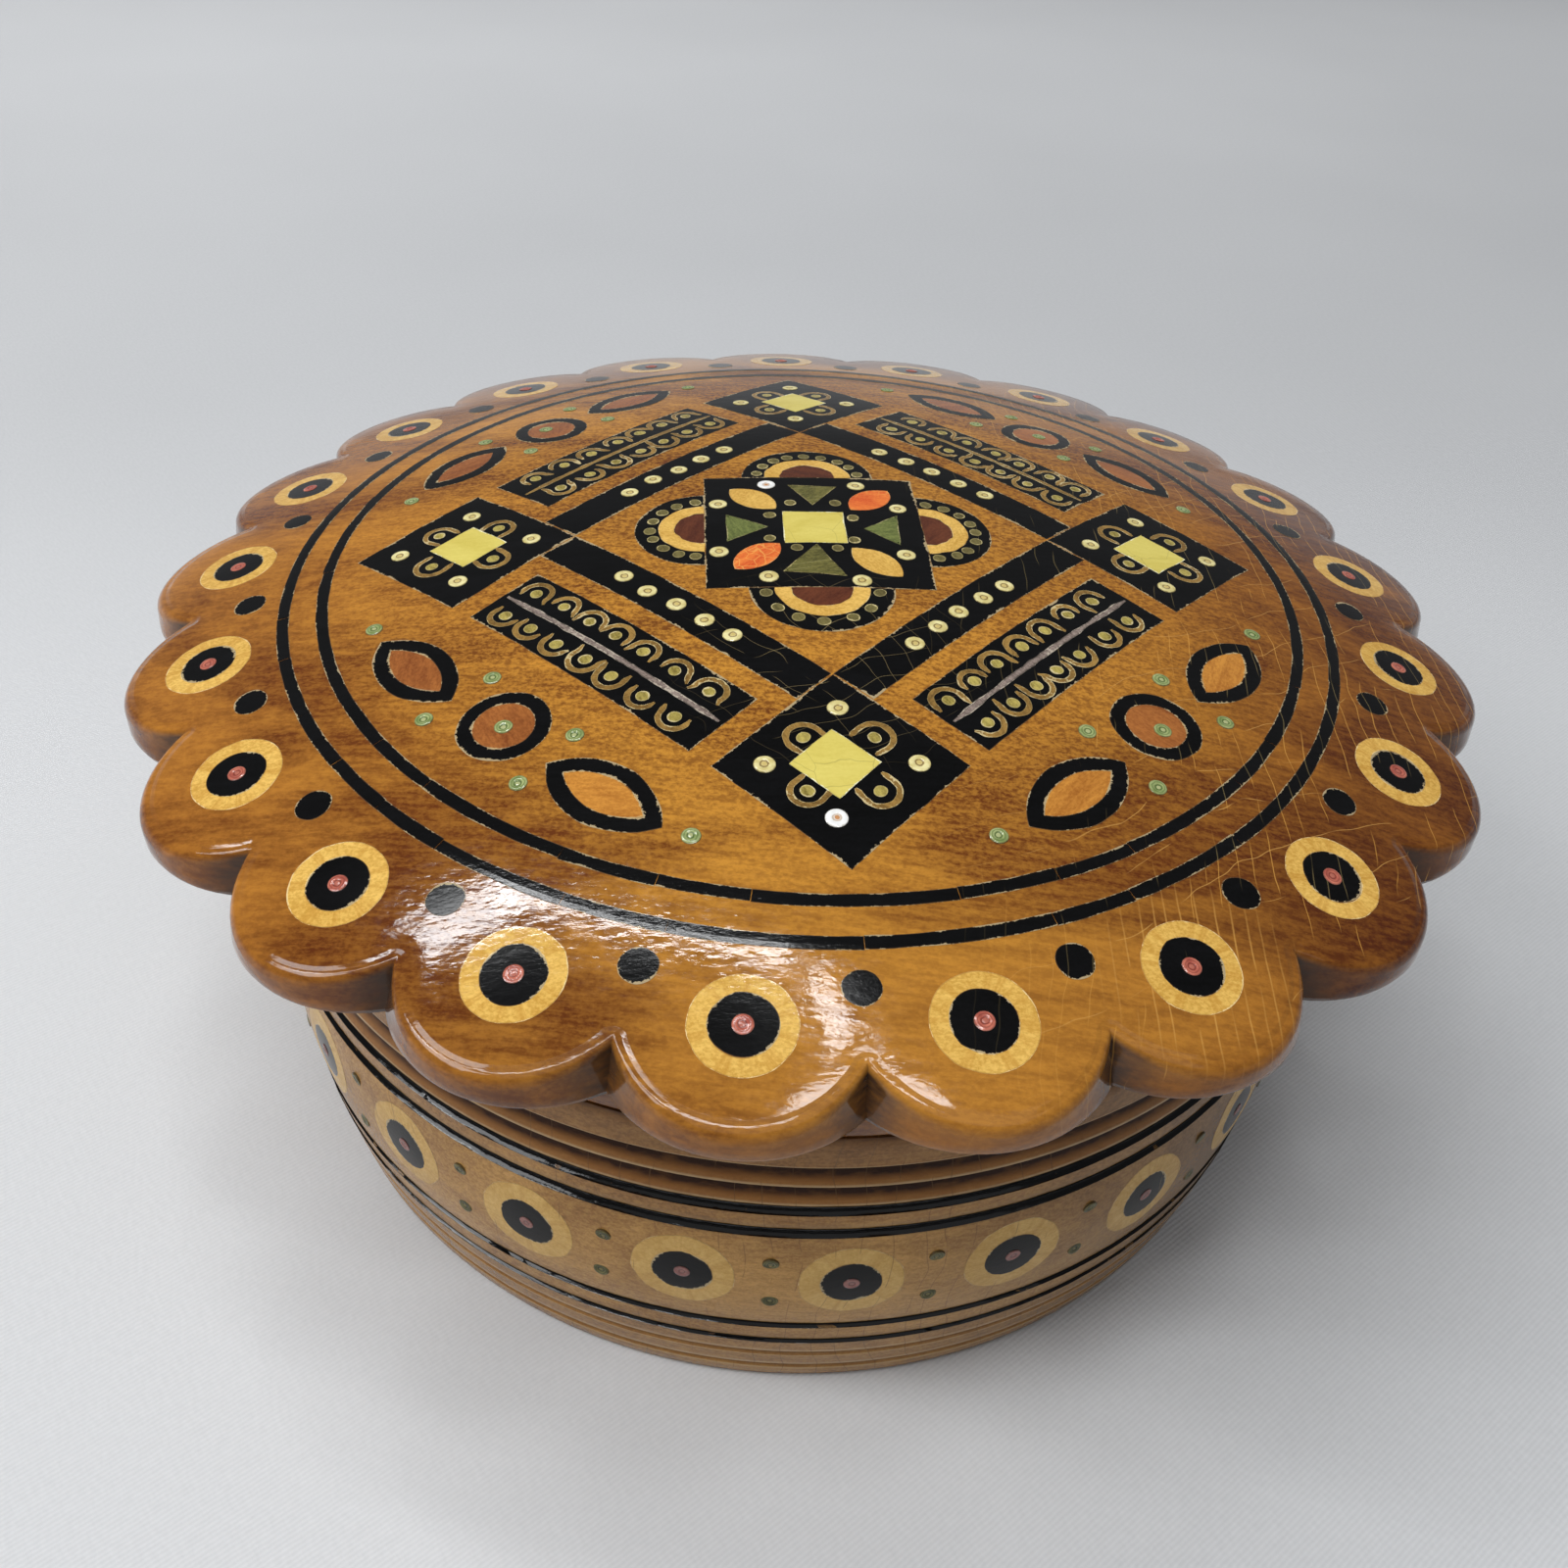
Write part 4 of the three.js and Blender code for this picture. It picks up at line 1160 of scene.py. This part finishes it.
loopBands = Sketch()
dotPlaces = []
for angle in diagonals:
    for side, row in ((1, loops["rows"][0]), (-1, loops["rows"][1])):
        for along in loops["along"]:
            aside = along * unit + random.uniform(-0.3, 0.3)
            out = row + random.uniform(-0.12, 0.12)
            arch = archPath(loops["radius"] * random.uniform(0.93, 1.06),
                            loops["reach"] + random.uniform(-14, 12),
                            (random.uniform(0.2, 1.1), random.uniform(0.6, loops["tail"])),
                            random.uniform(-0.1, 0.5))
            lean = (0 if side > 0 else 180) + random.uniform(-14, 14)
            addRibbon(loopBands, placed(placed(arch, 0, turn=lean), angle, out, aside)[::-1], loops["band"],
                      onDome, level["onBlack"], taper=3)
            dotPlaces.append(spot(angle, out + 0.1 * side, aside))
for angle in axes:
    for turn in (45, 135, 225, 315):
        arch = archPath(cornerLoops["radius"] * random.uniform(0.95, 1.05), cornerLoops["reach"],
                        (cornerLoops["leg"], cornerLoops["leg"] * random.uniform(0.8, 1)))
        away, aside = polar(cornerLoops["offset"] * math.sqrt(2), math.radians(turn))
        spun = placed(arch, 0, turn=turn + 180 + random.uniform(-8, 8))
        addRibbon(loopBands, placed(spun, angle, cornerOut + away, aside)[::-1], cornerLoops["band"], onDome,
                  level["onBlack"] - 0.008, taper=2)
        dotPlaces.append(spot(angle, cornerOut + away, aside))
sketched("woodLoops", loopBands, "loopWood")

strips = {"near": Sketch(), "far": Sketch()}
stripHalf = field["panelHalf"] - 0.6
for angle in diagonals:
    path = [(0, stripHalf * (k / 30 - 1)) for k in range(61)]
    where = "near" if angle in (-45, 225) else "far"
    addRibbon(strips[where], placed(path, angle, loops["strip"])[::-1], loops["stripWidth"], onDome,
              level["onBlack"] + 0.01, swing=0.5, taper=4)
sketched("nearStrips", strips["near"], "stripWood")
sketched("farStrips", strips["far"], "loopWood")
print("coloured inlay: laid")


# Beads, dots and bullseyes, set out by one tree

def beadTree():
    tree, given, made = newGroup("set beads", "GeometryNodeTree", {
        "Geometry": "Geometry", "Bead": "Object", "Finish": "Material", "Size Spread": 0.06, "Seed": 1,
    }, {"Geometry": "Geometry"})
    seed, smallest = given["Seed"], 1.0 - given["Size Spread"]

    def chance(start, low, high):
        return signal(tree, "FunctionNodeRandomValue", {"Seed": start, 2: low, 3: high}, 1,
                      data_type="FLOAT")

    source = signal(tree, "GeometryNodeObjectInfo", {"Object": given["Bead"]}, "Geometry")
    turn = signal(tree, "GeometryNodeInputNamedAttribute", {"Name": "turn"}, data_type="FLOAT_VECTOR")
    scale = signal(tree, "ShaderNodeCombineXYZ", {
        "X": chance(seed, smallest, 1.0), "Y": chance(seed + 7.0, smallest, 1.0), "Z": 1.0})
    spin = chance(seed + 13.0, 0.0, fullTurn)
    laid = signal(tree, "GeometryNodeInstanceOnPoints", {
        "Points": given["Geometry"], "Instance": source, "Rotation": turn, "Scale": scale})
    turned = signal(tree, "ShaderNodeCombineXYZ", {"Z": spin})
    spun = signal(tree, "GeometryNodeRotateInstances", {
        "Instances": laid, "Rotation": turned, "Local Space": True})
    marked = signal(tree, "GeometryNodeStoreNamedAttribute", {
        "Geometry": spun, "Name": "grain", "Value": spin / fullTurn}, data_type="FLOAT", domain="INSTANCE")
    real = signal(tree, "GeometryNodeRealizeInstances", {"Geometry": marked})
    feed(signal(tree, "GeometryNodeSetMaterial", {"Geometry": real, "Material": given["Finish"]}),
         made["Geometry"])
    return tree


setBeads = beadTree()


def domePoint(x, y, rise):
    return onDome(x, y, rise), (0.0, math.asin(math.hypot(x, y) / dome["radius"]), math.atan2(y, x))


def bellyPoint(angle, height, rise):
    turn = math.radians(angle)
    slope = math.atan2(wallRadius(height + 0.5) - wallRadius(height - 0.5), 1.0)
    return onBelly(turn, height)(0, 0, rise), (quarterTurn - slope, 0.0, turn + quarterTurn)


def setOut(name, places, shape, finish, slotName, seed, body="lid", spread=0.06, replaced=()):
    made = newObject(name, [place for place, _ in places], [], {"turn": [turn for _, turn in places]})
    treeModifier(made, setBeads, {
        "Bead": prototypes[shape], "Finish": finishes[finish], "Size Spread": spread, "Seed": seed})
    finished(settled(made), body, replaced)


def setOnDome(name, spots, rise, *rest, **look):
    setOut(name, [domePoint(x, y, rise) for x, y in spots], *rest, **look)


def beadShape(name, radius, thickness=0.9, offCentre=0.09, steps=28):
    profile = [(0, -thickness, 0), (0.97, -thickness, 1), (1, -0.03, 1), (0.97, 0.04, 0.96),
               (0.84, 0.085, 0.84), (0.66, 0.1, 0.66), (0.5, 0.08, 0.5), (0.4, 0.045, 0.4),
               (0.33, 0.03, 0.34), (0.24, 0.05, 0.24), (0, 0.055, 0)]
    made = latheObject(name, [(r * radius, z, ring) for r, z, ring in profile], steps, None, ("ring",))
    for point in made.data.vertices:
        if point.co.z > -0.5 * thickness * mm:
            point.co.x += offCentre * (radius * mm - math.hypot(point.co.x, point.co.y))
    return made


def discShape(name, outer, wobble, inner=None):
    sketch = Sketch()
    hole = circle(inner, 40) if inner else None
    addSlab(sketch, circle(outer, 40), onCap, 0.0, hole, wobble=wobble, steps=3)
    return newObject(name, sketch.points, sketch.faces, sketch.values)


random.seed(21)
prototypes = {
    "bead": beadShape("beadShape", 1.17), "smallBead": beadShape("smallBeadShape", 1.02),
    "tinyBead": beadShape("tinyBeadShape", 0.92), "dot": discShape("dotShape", 0.78, 0.1),
    "rimDot": discShape("rimDotShape", 1.95, 0.1), "rimDisc": discShape("rimDiscShape", 3.15, 0.12),
    "rimRing": discShape("rimRingShape", 4.97, 0.1, 3.1),
}

# Where seed beads and dots sit: beads along the bars, round the corner squares and between the almonds
seeds = {
    "barOut": 0.326, "cornerOut": 7.6, "whiteCorner": (-0.014, -0.686),
    "bars": {-45: (-0.1386, -0.0776, -0.0214, 0.041, 0.0977), 225: (-0.126, -0.066, -0.005, 0.057, 0.115),
             45: (-0.12, -0.062, 0.0, 0.058, 0.118), 135: (-0.118, -0.058, 0.002, 0.06, 0.122)},
    "green": [(0.686, 0.0), (0.65, -0.355), (0.65, 0.355), (0.623, -0.1), (0.623, 0.1), (0.745, -0.103),
              (0.745, 0.103)],
}
cream, green, dots = [], [], []
for angle, alongs in seeds["bars"].items():
    cream += [spot(angle, (seeds["barOut"] + random.uniform(-0.004, 0.004)) * unit, along * unit)
              for along in alongs]
for angle in axes:
    for turn in (0, 90, 180, 270):
        if angle == -90 and turn == 0:    # the white bead's corner
            continue
        away, aside = polar(seeds["cornerOut"], math.radians(turn))
        out = cornerOut + away + random.uniform(-0.2, 0.2)
        cream.append(spot(angle, out, aside + random.uniform(-0.2, 0.2)))
    count = 7 if angle == -90 else 9
    for n in range(count):
        turn = math.radians(-80 + 160 * n / (count - 1) + random.uniform(-2, 2))
        away, aside = polar(cross["halfDots"], turn)
        dots.append(spot(angle, field["middleHalf"] + away, aside))
cream += inUnits(cross["beads"])
dots += inUnits(cross["dots"])
for angle in diagonals:
    for out, aside in inUnits(seeds["green"]):
        green.append(spot(angle, out + random.uniform(-0.4, 0.4), aside + random.uniform(-0.4, 0.4)))

white = inUnits([cross["whiteBead"], seeds["whiteCorner"]])
setOnDome("creamBeads", cream, 0.04, "bead", "creamBead", "cream_bead", 2)
setOnDome("whiteBeads", white, 0.04, "bead", "whiteBead", "cream_bead", 3)
setOnDome("greenBeads", green, 0.02, "smallBead", "greenBead", "green_bead", 4)
setOnDome("brassDots", dotPlaces, 0.075, "dot", "brassColouredWood", "olive_wood", 16, spread=0.14)
setOnDome("oliveDots", dots, 0.075, "dot", "dotWood", "olive_wood", 5, spread=0.14)

rim = {"count": 21, "eyeRadius": 70.0, "dotRadius": 66.1}
eyeAngles = [fullTurn * (k + 0.5) / rim["count"] - quarterTurn for k in range(rim["count"])]
eyes = [polar(rim["eyeRadius"], angle) for angle in eyeAngles]
rimDots = [polar(rim["dotRadius"], angle - math.pi / rim["count"]) for angle in eyeAngles]
roundels = tuple(f"rim_roundel_{k:02d}" for k in range(1, rim["count"] + 1))
setOnDome("rimRings", eyes, 0.02, "rimRing", "yellowWood", "yellow_wood", 6, spread=0.03, replaced=roundels)
setOnDome("rimDiscs", eyes, 0.035, "rimDisc", "blackWood", "black_wood", 7, spread=0.04)
setOnDome("rimDots", rimDots, 0.03, "rimDot", "blackWood", "black_wood", 8, spread=0.08)
setOnDome("rimBeads", eyes, 0.03, "smallBead", "redBead", "red_bead", 9)

# Bullseyes round the belly

bellyEyes = {"count": 24, "first": -88.4, "height": 24.2, "outer": 5.7, "inner": 3.25,
             "greenHeights": (27.4, 20.6)}
bellyRings, bellyDiscs = Sketch(), Sketch()
redPlaces, greenPlaces = [], []
for k in range(bellyEyes["count"]):
    angle = bellyEyes["first"] + 360 * k / bellyEyes["count"]
    height = bellyEyes["height"] + random.uniform(-0.15, 0.15)
    lay = onBelly(math.radians(angle), height)
    addSlab(bellyRings, circle(bellyEyes["outer"] * random.uniform(0.97, 1.0)), lay, 0.02,
            circle(bellyEyes["inner"]), wobble=0.16, steps=3)
    addSlab(bellyDiscs, circle(bellyEyes["inner"] + 0.05), lay, 0.03, wobble=0.14)
    redPlaces.append(bellyPoint(angle, height, 0.02))
    halfway = angle + 180 / bellyEyes["count"]
    for middle in bellyEyes["greenHeights"]:
        shift = random.uniform(-0.4, 0.4)
        greenPlaces.append(bellyPoint(halfway + shift, middle + random.uniform(-0.3, 0.3), 0.02))
sketched("bellyRings", bellyRings, "bellyYellowWood", body="base")
sketched("bellyDiscs", bellyDiscs, "blackWood", body="base")
setOut("bellyRedBeads", redPlaces, "tinyBead", "bellyRedBead", "red_bead", 14, "base")
setOut("bellyGreenBeads", greenPlaces, "tinyBead", "bellyGreenBead", "green_bead", 15, "base")
for prototype in prototypes.values():
    bpy.data.objects.remove(prototype)
print("beads and bullseyes: set")


# Cloth floor, light and camera

# the floor's tone carries painted light: lighter on the left, darker on the right, further back and towards
# the near right corner
cloth = {"thread": 0.55, "twillTurn": 55, "contrast": 0.1, "paintedLightLeft": 0.025, "paintedShadeRight": -0.035,
         "far": -0.09, "corner": -0.16, "tone": (0.612, 0.617, 0.627)}


def clothFloor():
    made = latheObject("clothFloor", [(r, 0) for r in (3000, 1500, 600, 200, 0)], 96)
    smoothed(made)
    material, shader, place = startMaterial("whiteCloth")
    tree = place.tree
    across, along, _ = split(place)
    flat = mapped(place, cloth["twillTurn"], scale=1 / mm)
    twill = signal(tree, "ShaderNodeTexWave", {
        "Vector": flat, "Scale": 0.314 / cloth["thread"], "Distortion": 0.8, "Detail": 1.0,
        "Detail Scale": 1.5,
    }, "Fac")
    weave = twill * 0.4 + speckle(stretched(flat, 0.4, 1, 1), 1 / cloth["thread"], 1.0) * 0.6
    soft = ramp(speckle(place, 7.0, 2.0), 0.3, 0.7, -0.012, 0.012)
    # painted light and shade on the floor: lighter left, darker right, darker further back and in the near
    # right corner
    paintedSideLight = ramp(across, -0.2, 0.3, cloth["paintedLightLeft"], cloth["paintedShadeRight"])
    away = ramp(along, -0.02, 0.2, 0.0, cloth["far"], smooth=True)
    away = away * ramp(along, 0.28, 0.6, 1.0, 0.0, smooth=True)
    corner = ramp(across - along, 0.1, 0.27, 0.0, cloth["corner"], smooth=True)
    shade = soft + (paintedSideLight + (away + corner)) + (weave - 0.5) * cloth["contrast"]
    tone = signal(tree, "ShaderNodeCombineColor", {
        label: shade + share for label, share in zip(("Red", "Green", "Blue"), cloth["tone"])})
    coated(shader, tone, weave, 0.06, 0.9, 0.15)
    made.data.materials.append(material)


clothFloor()


def turnedAxes(right, up, back):
    return Matrix((right, up, back)).transposed().to_4x4()


def softLamp(name, place, longSide, size, watts, aim=(0, 0, 0.05), colour=(0.975, 0.988, 1.0)):
    light = bpy.data.lights.new(name, "AREA")
    light.shape = "RECTANGLE"
    light.size, light.size_y = size
    light.energy = watts
    light.color = colour
    back = (Vector(place) - Vector(aim)).normalized()
    along = Vector(longSide)
    along = (along - back * along.dot(back)).normalized()
    made = bpy.data.objects.new(name, light)
    made.matrix_world = Matrix.Translation(Vector(place)) @ turnedAxes(along, back.cross(along), back)
    made.visible_camera = False
    scene.collection.objects.link(made)


# Each lamp: place, direction of its long side, size, watts
lamps = {
    "archTop": ((-0.349, 0.575, 2.0), (0.933, -0.36, 0), (0.87, 0.085), 7.5),
    "archLeft": ((-0.905, 0.675, 2.0), (-0.955, -0.297, 0), (0.32, 0.14), 3.7),
    "archRight": ((0.155, 0.228, 2.0), (0.345, -0.939, 0), (0.27, 0.06), 1.3),
    "edgeLeft": ((-1.32, -0.19, 2.0), (0.88, -0.475, 0), (1.3, 0.17), 9.0),
    "edgeFront": ((-0.325, -0.46, 2.0), (1, 0.076, 0), (1.05, 0.17), 8.0),
    "edgeRight": ((0.22, -0.16, 2.0), (1, 0, 0), (0.3, 0.26), 4.0),
    "leftWindow": ((-0.76, -0.28, 0.84), (0.35, -0.95, 0), (0.56, 0.36), 4.5),
    "frontFill": ((0.1, -1.1, 2.0), (1, 0, 0), (2.4, 1.8), 6.0),
}
for name, look in lamps.items():
    softLamp(name, *look)

room = {"horizon": 0.45, "above": 0.17, "start": 0.0, "end": 0.3, "colour": (0.95, 0.97, 1.0)}
view = {"azimuth": -4.925, "elevation": 39.187, "roll": 2.983, "distance": 0.148798,
        "aim": (-0.005223, -0.037063, 0.06615), "lens": 33.3}


def addRoom():
    world = bpy.data.worlds.new("room")
    scene.world = world
    world.use_nodes = True
    background = world.node_tree.nodes["Background"]
    height = split(signal(world.node_tree, "ShaderNodeTexCoord", None, "Generated"))[2]
    feed(ramp(height, room["start"], room["end"], room["horizon"], room["above"], smooth=True),
         background.inputs[1])
    feed(room["colour"], background.inputs[0])


def addCamera():
    a, e, roll = (math.radians(view[key]) for key in ("azimuth", "elevation", "roll"))
    back = Vector((math.sin(a) * math.cos(e), -math.cos(a) * math.cos(e), math.sin(e)))
    right = (-back).cross(Vector((0, 0, 1))).normalized()
    up = right.cross(-back)
    turnedRight = right * math.cos(roll) + up * math.sin(roll)
    turnedUp = up * math.cos(roll) - right * math.sin(roll)
    camera = bpy.data.cameras.new("camera")
    camera.lens = view["lens"]
    camera.sensor_width = 36
    camera.clip_start = 0.005
    made = bpy.data.objects.new("camera", camera)
    place = Vector(view["aim"]) + back * view["distance"]
    made.matrix_world = Matrix.Translation(place) @ turnedAxes(turnedRight, turnedUp, back)
    scene.collection.objects.link(made)
    scene.camera = made


addRoom()
addCamera()
print("stage: set")
